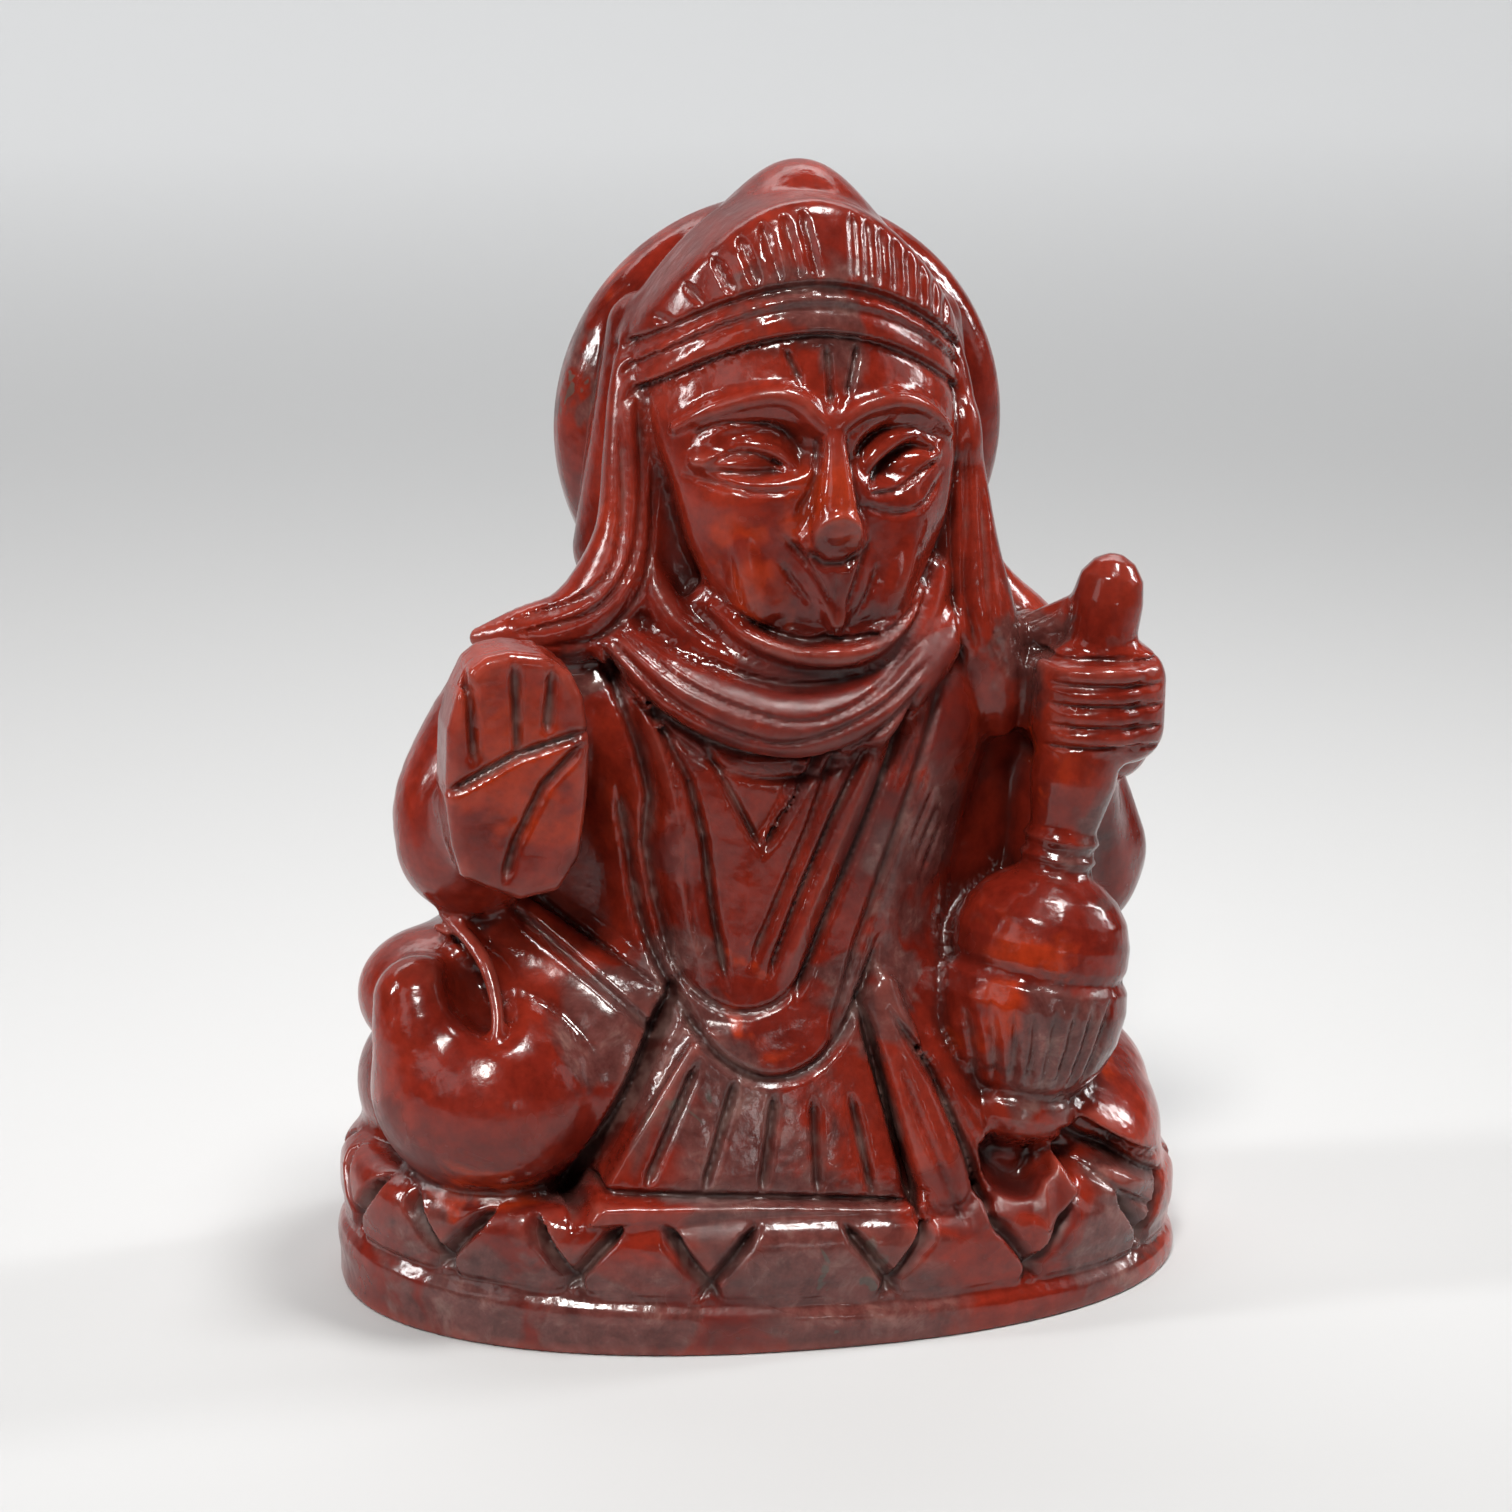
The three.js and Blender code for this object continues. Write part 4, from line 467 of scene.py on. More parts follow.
# Arms
add(rope([[-20.6, 1, 43.4, 8.2], [-24.6, 0, 39.5, 7.6], [-27.9, -1.5, 34.4, 7.2],
          [-28.6, -3.6, 31.6, 6.7]]), 2)
add(rope([[-27.8, -5, 32.5, 6.2], [-26.6, -9, 36, 5.8], [-26.1, -10.5, 41, 5]]), 0.9)
add(rope([[21, 2, 44.4, 8.2], [25.2, 3.2, 38.5, 7.2], [29, 3.6, 30.5, 7], [31, 3, 25.8, 6.7]]), 2)
add(rope([[30.6, 0.5, 24, 5.4], [28.6, -2, 33, 4.6], [28.4, -4.5, 42, 4.8]]), 1)

# Head
add(limb([1.8, 1.5, 46, 11], [1.6, 0, 56, 10.5]), 3)
add(disc([2.6, 9.6, 66.6], 21.1, 21.3, 4.6, 4.2), 0.8)
add(ball([2, 2.5, 74.5], [13.4, 12.4, 14.8]), 0.6)
add(ball([2.4, 2.4, 83.2], [6.6, 8, 8.9]), 3)
add(ball([1.2, 0.4, 68], [14.2, 11, 16]), 0.8)
add(ball([1.8, -1.4, 58], [10.6, 10.6, 9.6]), 2)

# Hair
add(limb([-11.6, 3, 77, 3.4], [-13, 2.6, 57, 5]), 1.5)
add(limb([14.6, 3, 77, 3.4], [16, 2.4, 56, 4.6]), 1.5)
add(rope([[-11.8, 0.8, 79.5, 1.2], [-13, -0.6, 76, 1.7], [-13.8, -2, 72, 2], [-14.1, -3.4, 67, 2.4],
          [-14.4, -4.6, 60, 3], [-16.2, -5.2, 54.4, 3.9], [-19.4, -4.8, 51.6, 3.4],
          [-23.4, -3.8, 50.8, 2.5], [-27.4, -2.4, 50.2, 1]], 5), 0.8)
add(rope([[14.6, 1.2, 79, 1.4], [15.8, -0.4, 73, 2.1], [16.6, -2.4, 64, 2.6], [17, -4, 57, 3.3],
          [18, -5, 50.4, 3.9], [19.4, -5.6, 44.8, 3.1], [20.4, -5.9, 41.2, 1.4]], 5), 0.8)
add(rope([[17.8, 0.6, 60, 2], [19, 0.6, 54.5, 2.8], [21.8, 1.2, 49.6, 3.7], [25, 1.5, 45.6, 3.8]]), 1.5)
add(ball([16.9, -1.8, 66.6], [2, 3.2, 5]), 0.3)

# Scarf
add(rope([[-13.2, -6.6, 56.4, 1.6], [-10, -9.8, 51.6, 1.7], [-4.6, -12.4, 48.9, 1.8],
          [1.2, -13.2, 48, 1.8], [7, -12.2, 48.9, 1.8], [11.6, -9.2, 51.8, 1.6],
          [13.6, -6.6, 55.6, 1.4]], 5), 0.6)
add(rope([[-18.4, -4.6, 52.4, 1.8], [-14, -9.6, 49.2, 2.5], [-8.2, -13.4, 46, 2.9],
          [-1, -15.2, 44.3, 3.1], [6, -14, 45.6, 2.9], [12, -10.2, 48.8, 2.4],
          [16, -6, 52, 1.8]], 5), 0.5)


# Tiara

def brow_line(x):
    return 78.8 - 0.029 * (x - 0.8) ** 2


def cord_line(x):
    return 83 - 0.03 * (x - 0.8) ** 2


def crest_line(x):
    return 90.1 - 0.052 * (x - 1.2) ** 2


band = only(ball([1, -0.4, 69.4], [15.5, 13.3, 22.5]),
            lambda x, y, z: np.maximum(brow_line(x) - z, z - cord_line(x) - 1.5), 0.6)
add(only(band, lambda x, y, z: y - 2.5, 1), 0.3)
crown = only(ball([1.2, 1, 72.4], [15.9, 14.6, 22]),
             lambda x, y, z: np.maximum(cord_line(x) - z, z - crest_line(x)), 1)
add(only(crown, lambda x, y, z: y - 3, 1.5), 0.6)

# Face

# The mask is the front of the face: part of a ball, kept inside an outline.
MASK_AT = [1.4, -1, 64.5]
MASK_SIZE = [15.5, 13.6, 22]
MASK = [[-13.2, 80], [-13, 71.7], [-12.3, 68.7], [-11.1, 65.2], [-9.7, 59.7], [-8.3, 56.5], [-5.6, 53.6],
        [-2.5, 51.6], [1.5, 50.2], [5, 50.4], [8.6, 52], [10.9, 54.6], [12.6, 58], [14.3, 61.6],
        [15.3, 66.7], [15.7, 74.2], [15.7, 80]]


def mask_front(x, z):
    """How far forward the mask reaches at a place on it."""
    across = (x - MASK_AT[0]) / MASK_SIZE[0]
    up = (z - MASK_AT[2]) / MASK_SIZE[2]
    return MASK_AT[1] - MASK_SIZE[1] * math.sqrt(max(0, 1 - across ** 2 - up ** 2))


def on_mask(points, forward):
    """Places a run of points, given as x, z and radius, on the mask."""
    return [[x, mask_front(x, z) - forward, z, r] for x, z, r in points]


# Upper lid and lower lid of each eye, then the brows: x, z and radius at each point, how far the
# line stands forward of the mask, and its blend
LIDS_AND_BROWS = [
    ([[-10.2, 67.4, 0.4], [-8.2, 68.7, 0.65], [-5.4, 69.2, 0.75], [-2.9, 68.7, 0.65],
      [-1.3, 67.3, 0.4]], -1.2, 0.3),
    ([[-10, 66.9, 0.35], [-7.4, 66.4, 0.5], [-4.2, 66.1, 0.55], [-1.5, 66.8, 0.35]], -1.1, 0.3),
    ([[4.6, 66.2, 0.4], [6.3, 68.3, 0.75], [8.7, 69.6, 0.8], [11.2, 69.5, 0.7],
      [13.3, 68, 0.4]], -1.2, 0.3),
    ([[4.8, 64.7, 0.35], [7.7, 63.9, 0.55], [10.5, 64.7, 0.55], [13, 66.8, 0.35]], -1.1, 0.3),
    ([[-11, 70.2, 0.5], [-8.4, 72, 0.8], [-5.5, 73.2, 0.9], [-2.8, 73.7, 0.95], [-0.8, 73.1, 1],
      [0.9, 71.4, 0.9]], 0.1, 0.5),
    ([[2.9, 71.5, 0.9], [4.6, 72.4, 0.9], [7.6, 72.9, 0.9], [10.2, 72.3, 0.85], [12.4, 70.8, 0.7],
      [14, 69.1, 0.5]], 0.1, 0.5),
]

add(limb([-10.4, -0.6, 67, 4.6], [-9.8, -1.6, 54, 5]), 1.5)
add(limb([12.8, 0, 67, 4.6], [12.2, -1.6, 54, 5]), 1.5)
mask = only(ball(MASK_AT, MASK_SIZE), lambda x, y, z: outline_far(MASK, x, z), 0.9)
add(only(mask, lambda x, y, z: y + 1, 1), 0.25)
add(limb([-5.4, -10.4, 63.8, 3], [-3.8, -11.2, 55, 2.8]), 1.8)
add(limb([8.8, -10, 62.6, 2.8], [7.4, -11, 55, 2.8]), 1.8)
add(rope([[-6, -12, 62.4, 0.9], [-5.5, -13.3, 59.6, 1.1], [-4.9, -13.5, 56.4, 1.2],
          [-4.2, -13, 54.4, 0.9]]), 0.7)
add(rope([[9.4, -11.4, 61.6, 0.8], [9, -12.6, 58.8, 1], [8.2, -13, 56.2, 1.1],
          [7.4, -13, 54.6, 0.8]]), 0.7)
cut(ball([-5.2, -14.8, 69.2], [6.4, 3.5, 3.1]), 0.8)
cut(lean(ball([9.2, -14.2, 68.6], [5.4, 3.5, 3.2]), [9.2, -14.2, 68.6], -8), 0.8)
add(ball([-5.6, -10.3, 67.6], [4.6, 2.3, 1.5]), 0.2)
add(lean(ball([9, -9.6, 66.6], [4.2, 2.3, 1.5]), [9, -9.6, 66.6], -15), 0.2)
for points, forward, blend in LIDS_AND_BROWS:
    add(rope(on_mask(points, forward)), blend)
add(stack([[50.4, 2.2, -6, 5, 7], [53, 2.2, -6, 7.4, 8.3], [57, 2.2, -6, 6.8, 9.3], [61, 2, -6, 5.2, 9.4],
           [65, 2, -6, 3.2, 8.3], [67.5, 2, -6, 2, 7]], 1.6), 0.9)
add(rope([[2, -13.2, 72.6, 0.9], [2, -14.6, 68.8, 1.2], [2, -15.6, 65.2, 1.7],
          [2, -15.9, 62.9, 1.8]]), 0.7)
add(plate([[0.4, 64.6], [3.6, 64.6], [5.2, 61], [3, 53], [1.9, 53], [-1.2, 61]], -15.4, -10, 0.5), 0.5)
tip = ball([2, -15.9, 61.9], [2.3, 2.9, 2.9])
add(only(tip, lambda x, y, z: 0.62 * (64 - z) - y - 18.3, 0.3), 0.3)
add(rope([[-7.4, -8.4, 54.2, 2], [-4, -10.6, 51.8, 2.6], [2, -12.2, 50.8, 2.8], [7.6, -10.6, 52, 2.4],
          [10.6, -7.6, 54.2, 1.8]]), 0.4)
add(rope([[-7.8, -10.6, 54.4, 0.5], [-5.2, -13.4, 52.3, 0.8], [-1.4, -15.1, 51.1, 1],
          [2.2, -15.6, 50.8, 1.1], [5.8, -14.8, 51.3, 1], [9.2, -12.4, 53, 0.8],
          [11.4, -9.6, 55, 0.5]], 5), 0.3)

# Mace

# Its profile gives the distance from the foot, and the radius there.
MACE_FOOT = [19.3, -13.4, -0.4]
MACE_HEAD = [30.4, -7.8, 57.2]
MACE = [[0, 0.01], [0.3, 1.4], [1.2, 2.2], [2.2, 2.6], [3.4, 2.4], [4, 3.6], [5.2, 5.5], [6.6, 6.2],
        [8, 6], [8.6, 5], [9, 5.4], [9.8, 6.4], [11.6, 7.8], [14.2, 8.7], [17.2, 9], [19.2, 8.7],
        [20.1, 7.9], [21.2, 8.3], [23.2, 8.2], [25.4, 7.5], [27.2, 6.2], [28.5, 4.5], [29.4, 3],
        [30.5, 3.6], [31.3, 3], [32.2, 3.6], [33.2, 3.1], [35.2, 3.5], [37.6, 4], [40.2, 4], [42.8, 3.5],
        [50, 3.3], [54.6, 3.3], [56.8, 2.9], [58.2, 1.9], [58.9, 0.6]]

cut(ball([19.9, -18.4, 3.2], [3.6, 4, 3.8]), 0.9)
add(turned(MACE_FOOT, MACE_HEAD, MACE), 0.6)
add(rope([[24.4, -6, 9, 4.6], [25.2, -4, 17, 5.6], [26.5, -3, 27, 4.3], [27.6, -3, 38, 4]], 3), 1)
add(rope([[28.4, -7, 51.6, 2.2], [24.6, -4.6, 49.2, 2.2], [20.5, -2, 47, 2.6]], 3), 0.6)

# Fist
add(block([28.7, -8.2, 43.6], [6.1, 5.2, 5.7], 3.6), 0.6)
add(ball([31.5, -4.6, 39.4], [3.8, 4.8, 4.5]), 0.8)
for finger in range(4):
    z = 47.2 - finger * 1.95
    add(rope([[23.6, -9.4, z, 1], [25.4, -12.4, z, 1.2], [29.4, -13.2, z - 0.1, 1.2],
              [32.8, -11, z - 0.3, 1.15]], 3), 0.2)

# Palm

PALM = [[-27, 52.3], [-23.9, 51.9], [-21.5, 50.2], [-20.4, 47.9], [-19.8, 43.8], [-20, 38.8],
        [-20.7, 33.3], [-22.5, 30.3], [-26.1, 29.6], [-28.8, 30.7], [-31.3, 32], [-32.1, 34.8],
        [-32.7, 39.4], [-32.5, 45.3], [-31.7, 48.4], [-30.5, 50.9], [-29.2, 51.9]]

add(plate(PALM, -16.4, -9.5, 1.1), 0.4)
add(rope([[-31.2, -7.6, 36.8, 0.8], [-33, -6.4, 33.6, 1], [-33.2, -6, 30.6, 1], [-31.6, -6.4, 28, 1],
          [-28.4, -7, 26.6, 0.8]]), 0.4)

# Corners too narrow for the wheel are filled before the strokes are cut
clay.close(WHEEL)


# Strokes cut with the edge of the wheel

def curved(steps, *strokes):
    """Strokes that run smoothly through their points."""
    return [(smooth(points, steps), *sizes) for points, *sizes in strokes]


def arc(top, bend):
    """A line across the brow, falling away to both sides."""
    return [[0.8 + 2 * i, top - bend * (2 * i) ** 2] for i in range(-8, 9)]


def petal_plane(x, y, z):
    """Drawing round the rim, level with the petals, which fall away to the right."""
    along, up = round_plane(x, y, z)
    return along, up + PETAL_FALL * x


# Strokes on the petals
cuts = []
for first, pitch, count in PETALS:
    for i in range(count):
        middle = first + i * pitch
        for side in (-1, 1):
            top = [middle + side * PETAL_TOP[0], PETAL_TOP[1]]
            foot = [middle - side * PETAL_FOOT[0], PETAL_FOOT[1]]
            cuts.append(([top, foot], 0.95, 1.4, 1.8))
score(cuts, [-RIM_X - 1, -RIM_Y - 1, -10], [RIM_X + 1, RIM_Y + 1, 3], petal_plane)

# Strokes on the robe
score([
    ([[-15.5, 48.6], [-12, 40.2], [-10.9, 35.3], [-10.8, 29.6], [-9.9, 24.5],
      [-8.9, 19.6]], 1.9, -0.8, 4),
    ([[8.4, 46], [6.2, 41.4], [3, 34], [0, 27], [-2.4, 20.6]], 1.6, -0.8, 4),
    ([[4.2, 42.3], [1.4, 35.4], [-2, 27.4], [-4.2, 21.6]], 1.1, -0.45, 4),
    ([[-5, 33], [-5.6, 26], [-6.2, 20.6]], 1.4, -0.3, 4),
], [-20, -30, 15], [14, -6, 52])
lines = [
    ([[-9.3, 43], [-6.6, 37.9], [-3.9, 32.6]], 0.6, 0.7, 2),
    ([[1.7, 42.6], [-1.2, 37], [-4, 32.2]], 0.6, 0.7, 2),
    ([[-17.2, 50.6], [-14.2, 41.3], [-13.3, 37.1], [-13.5, 32.4], [-12.6, 26.8],
      [-11.2, 21.5]], 0.8, 1, 3),
    ([[-14, 46.6], [-10.3, 39.1], [-8.9, 33.5], [-8.1, 26.8], [-6.9, 19.8]], 0.6, 0.8, 3),
    ([[-12.9, 44.4], [-11.4, 38.6], [-10.6, 33.6]], 0.4, 0.3, 3),
    ([[-10.6, 33.4], [-10.2, 28], [-9.4, 23]], 0.4, 0.3, 3),
    ([[5.8, 42.2], [2.3, 35.8], [-0.9, 28.2], [-3.6, 20.5]], 0.5, 0.7, 2.5),
    ([[2.8, 42.6], [0.2, 35], [-2.6, 28.1], [-5.1, 22]], 0.5, 0.6, 2.5),
    ([[10.2, 47], [7.9, 40.6], [4.6, 32.6], [1.6, 25.7], [-1.2, 18.6]], 0.7, 0.9, 2.5),
    ([[13.4, 46.4], [10.6, 38.4], [7.9, 31.2], [4.9, 23.2], [1.9, 14.4]], 0.8, 0.7, 2.5),
]
for i in range(6):
    lines.append(([[11 + 0.6 * i, 43 - 1.9 * i], [8.4 + 0.6 * i, 37.4 - 1.9 * i]], 0.4, 0.28, 2))
score(lines, [-20, -30, 10], [20, -6, 52])
outer = smooth([[-16, 38], [-14.8, 32.1], [-13.9, 25.8], [-12.3, 21], [-9.6, 16], [-7, 13.4], [-3.7, 12],
                [0, 12.7], [2.9, 15.2], [5.4, 19.4], [7.2, 24]], 4)
inner = smooth([[-12.8, 25.6], [-11.4, 21.7], [-9.2, 19.2], [-6.2, 18], [-3, 18.6], [-0.7, 20.6],
                [1.2, 23.4]], 4)
score([(outer, 0.8, 0.95, 4), (inner, 0.6, 0.6, 4)], [-20, -30, 8], [12, -6, 42])

# Strokes on the scarf
score(curved(
    4,
    ([[-17.4, 51.9], [-11.8, 46.6], [-5.7, 43.9], [-1.1, 43.6], [6.1, 46], [12, 49.6]], 0.5, 0.5, 3),
    ([[-16.6, 53], [-11.4, 48.6], [-5, 46], [0, 45.4], [6, 47.4], [12, 51.4]], 0.45, 0.4, 3),
    ([[-17.9, 51], [-12.6, 45], [-8, 42.4], [-3.6, 41.4], [0.6, 41.6], [5.2, 43.4],
      [11, 47.4]], 0.6, 0.6, 3),
    ([[-10.4, 50.9], [-5.4, 48.8], [0.6, 48], [6.4, 48.8], [10.6, 51.2]], 0.4, 0.3, 3),
    ([[-16.6, 48], [-12.4, 43.6], [-8.4, 40.6], [-4, 39.2], [-0.6, 39.2], [3.8, 40.4]], 0.5, 0.45, 3),
), [-20, -30, 36], [18, -5, 56])

# Strokes on the knee
score(curved(
    3,
    ([[-25.7, 26], [-22.1, 23.2], [-18.4, 20.2], [-14.7, 17.1], [-12.5, 14.8]], 0.7, 0.7, 3),
    ([[-23.9, 27], [-18.4, 23], [-13.8, 20.2], [-11.2, 18.8]], 0.5, 0.45, 3),
    ([[-29.2, 21.6], [-31, 24.2], [-33.8, 25.6]], 0.5, 0.5, 1.5),
    ([[-37, 21.8], [-35.6, 23.3], [-33.3, 23.8], [-31, 23]], 0.5, 0.5, 1.5),
), [-40, -30, 10], [-10, -4, 30])

# Strokes on the low knee
score([
    ([[24, 5.2], [26.9, 3], [31.4, 0.4], [36.4, -2.6]], 0.8, 1, 2.5),
    ([[24.8, 2], [28.4, -0.2], [32.4, -3.2], [35.8, -5.6]], 0.5, 0.5, 2.5),
    ([[22.2, 3.2], [22, -2], [22.1, -6.2]], 1.2, -0.5, 2.5),
], [20, -30, -7], [39, -2, 8])

# Strokes on the skirt
pleats = []
for i in range(5):
    t = i / 4
    top = [-10 + 13.9 * t, 13.9 - 3.6 * min(1, 1.6 * t)]
    pleats.append(([top, [-15.4 + 21.1 * t, 2.9 - 1.9 * t]], 0.7, 1, 1.5))
score(pleats + [
    ([[-10.6, 21], [-15.5, 11.4], [-21.9, 0.2]], 1.25, 2.2, 5),
    ([[-20.4, 2.9], [-4.5, 1.9], [9.2, 0.4]], 0.5, 0.7, 1.5),
    ([[4.6, 19.6], [6.8, 11.8], [8.4, 5], [9.9, -1.8]], 0.8, 1.3, 4),
    ([[7.4, 18], [11.8, 11.4], [14.7, 4.5], [17.2, -3]], 0.7, 1, 4),
    ([[8.2, 13.4], [10.2, 7.6], [12.4, 2], [14, -1.6]], 0.5, 0.5, 3),
    ([[10.6, 14.8], [14.4, 7.4], [18, 1.2]], 0.6, 0.35, 3),
], [-25, -30, -6], [20, -6, 22])

# Strokes on the fist
score([([[23, z], [28, z + 0.1], [34, z - 0.3]], 0.4, 0.5, 1) for z in (48.2, 46.2, 44.3, 42.3, 40.4)],
      [22, -20, 39], [35, -7, 50])

# Strokes on the mace
flutes = []
for i in range(8):
    x = 14.9 + 1.92 * i
    flutes.append(([[x, 18.3], [16.4 + 0.68 * (x - 14.9), 9.6]], 0.62, 0.55, 2.5))
score(flutes, [12, -30, 8], [32, -9, 22])

# Strokes on the palm
score([
    ([[-30.7, 50.4], [-30.1, 42]], 0.75, 0.9, 1.5),
    ([[-26.6, 51.5], [-26.3, 42.6]], 0.75, 0.95, 1.5),
    ([[-23.2, 51], [-23.8, 44.4]], 0.75, 0.9, 1.5),
    ([[-32.6, 39.8], [-26.5, 43], [-20, 44.9]], 0.75, 0.9, 1.5),
    ([[-20.3, 44], [-24, 40.2], [-26.5, 35.1], [-27.6, 31.3]], 0.75, 0.9, 1.5),
    ([[-26.5, 39.2], [-26.5, 36.6]], 0.4, 0.3, 1),
], [-34, -18, 29], [-18, -14.5, 54])

# Strokes on the tiara
flutes = []
for i in range(7):
    foot = 1 - 1.45 * i - 0.09 * i * i
    top = foot - 0.9 - 0.12 * i
    flutes.append(([[top, crest_line(top) - 0.7], [foot, cord_line(foot) + 0.5]], 0.6, 0.5, 1))
for i in range(8):
    foot = 4.3 + 1.36 * i
    flutes.append(([[foot + 0.3, crest_line(foot) - 0.7], [foot, cord_line(foot) + 0.5]], 0.6, 0.4, 1))
score(flutes, [-17, -20, 72], [19, 1, 93])
score([
    (arc(82.9, 0.03), 0.7, 0.35, 2),
    (arc(82, 0.03), 0.6, -0.3, 2),
    (arc(81.1, 0.03), 0.6, 0.3, 2),
    (arc(78.7, 0.029), 0.6, 0.35, 2),
], [-17, -20, 70], [19, 1, 86])

# Strokes on the face
straight = [
    ([[-1.9, 77.6], [-0.6, 74.6]], 0.5, 0.75, 0.8),
    ([[1.8, 77.8], [1.9, 72.6]], 0.5, 0.75, 0.8),
    ([[4.7, 77.8], [3.4, 73.4]], 0.5, 0.75, 0.8),
    ([[-0.4, 60.2], [1, 59], [3, 59], [4.4, 60.1]], 0.6, 0.7, 1),
    ([[2.3, 58.4], [2.4, 53.6]], 0.5, 0.35, 1.5),
]
bent = curved(
    3,
    ([[-9.9, 68.9], [-9, 70.1], [-6.7, 71.1], [-3.3, 71.1], [-1.6, 70.1], [-0.4, 68.6]], 0.4, 0.4, 1.5),
    ([[4.4, 68.3], [5.9, 69.7], [7.8, 70.3], [10.3, 70], [13.2, 68.6]], 0.4, 0.4, 1.5),
    ([[-9.1, 67.2], [-7.2, 68.1], [-5.2, 68.5], [-3.3, 68], [-1.6, 67.1]], 0.5, 0.4, 1),
    ([[-9, 67.1], [-6.5, 66.8], [-4.1, 66.7], [-1.6, 67.1]], 0.5, 0.4, 1),
    ([[5.2, 65], [6.7, 66.9], [8.5, 68.1], [10.3, 68.4], [12.7, 67.5]], 0.42, 0.5, 1),
    ([[5.3, 64.9], [7.8, 64.8], [9.9, 65.7], [12.7, 67.3]], 0.42, 0.5, 1),
    ([[-10.6, 66.2], [-7.7, 65.8], [-4.1, 65.2], [-0.7, 65.7]], 0.45, 0.4, 2),
    ([[4, 64.4], [7.8, 62.9], [11.1, 63.5], [13.2, 65.9]], 0.45, 0.4, 2),
    ([[1, 70.9], [0.5, 67.5], [-0.1, 65.5], [-1.5, 62.9]], 0.45, 0.35, 1.5),
    ([[3.1, 70.7], [3.7, 67.2], [4.1, 64.9], [5.1, 62.8]], 0.45, 0.35, 1.5),
    ([[-2.4, 61.4], [-0.6, 59.6], [1, 57.1], [2.3, 54.8]], 0.5, 0.5, 1.5),
    ([[-2.8, 59.3], [-1.3, 57.2], [0.5, 54.6]], 0.4, 0.35, 1.5),
    ([[5.6, 61.2], [4.6, 59.2], [4, 57], [3, 54.2]], 0.5, 0.5, 1.5),
    ([[6.4, 58.6], [5.5, 55.9], [4.2, 53.7]], 0.4, 0.35, 1.5),
    ([[-6.6, 54.6], [-4.2, 53.1], [-2.3, 52.3], [0, 51.8], [1.8, 52], [3.4, 51.8], [6.4, 52], [8.6, 52.8],
      [11, 54.4]], 0.55, 0.6, 2),
)
score(straight + bent, [-14, -24, 48], [17, -5, 79])

# Strokes on the hair
score(curved(
    4,
    ([[-13.6, 72], [-13.6, 64], [-14.8, 58], [-18.4, 53.6], [-24.8, 51.2]], 0.5, 0.55, 3),
    ([[-15.2, 70], [-15.2, 63], [-16.4, 57.6], [-20, 54.2], [-25.6, 51.9]], 0.5, 0.5, 3),
    ([[-12.4, 66], [-12.8, 59], [-14.2, 55], [-17.6, 51.4], [-22.8, 50.2]], 0.5, 0.5, 3),
    ([[-14, 57], [-16.4, 52.6], [-21.4, 49.6]], 0.4, 0.35, 3),
    ([[16.9, 68], [16.6, 61], [16.2, 54], [17.6, 47.6]], 0.5, 0.5, 3),
    ([[18.3, 64], [18.2, 58], [18.4, 52], [20.2, 46.4]], 0.5, 0.5, 3),
    ([[15.4, 64], [15.2, 57], [15.4, 51], [16.6, 46]], 0.45, 0.4, 3),
), [-30, -12, 42], [24, 0.5, 74])

# From the grid to a skin

TRIANGLES = 192000
JUST_INSIDE = -0.01
# How far a point may move in one step towards the surface, in grid steps
LONGEST_MOVE = 0.35
# Grid steps each way over which the stone is averaged to find hollows
HOLLOW_REACH = 4
DEEPEST_SCORE = 3
CORNERS = [(i & 1, (i >> 1) & 1, (i >> 2) & 1) for i in range(8)]


def in_one_piece(pattern):
    """Whether the marked corners of a cell hang together."""
    if pattern == 0:
        return True
    reached = pattern & -pattern
    for _ in range(4):
        for i in range(8):
            for side in (1, 2, 4):
                if (reached >> i) & (pattern >> (i ^ side)) & 1:
                    reached |= 1 << (i ^ side)
    return reached == pattern


CLEAN = np.array([in_one_piece(p) and in_one_piece(255 - p) for p in range(256)])


def corner_view(grid, corner):
    i, j, k = CORNERS[corner]
    a, b, c = grid.shape
    return grid[i:a - 1 + i, j:b - 1 + j, k:c - 1 + k]


def patterns(grid):
    out = np.zeros([n - 1 for n in grid.shape], np.uint8)
    for corner in range(8):
        out |= (corner_view(grid, corner) < 0).astype(np.uint8) << corner
    return out


def mend(grid):
    """Fills corners where two sheets of the surface would touch, so that it stays a true skin."""
    while True:
        found = np.argwhere(~CLEAN[patterns(grid)])
        if len(found) == 0:
            return
        values = np.stack([grid[tuple((found + c).T)] for c in CORNERS])
        values[values < 0] = np.inf
        pick = found + np.array(CORNERS)[values.argmin(0)]
        grid[tuple(pick.T)] = JUST_INSIDE


def sample(grid, at):
    """Reads the grid between its points."""
    base = np.clip(np.floor(at).astype(int), 0, np.array(grid.shape[:3]) - 2)
    t = at - base
    out = 0
    for i, j, k in CORNERS:
        share = ((t[:, 0] if i else 1 - t[:, 0]) * (t[:, 1] if j else 1 - t[:, 1])
                 * (t[:, 2] if k else 1 - t[:, 2]))
        out = out + share * grid[base[:, 0] + i, base[:, 1] + j, base[:, 2] + k]
    return out


def slope(grid, at):
    """Direction in which the field grows, worked out over half a cell each way."""
    out = np.empty(at.shape)
    for axis in range(3):
        shift = np.zeros(3)
        shift[axis] = 0.5
        out[:, axis] = sample(grid, at + shift) - sample(grid, at - shift)
    return out


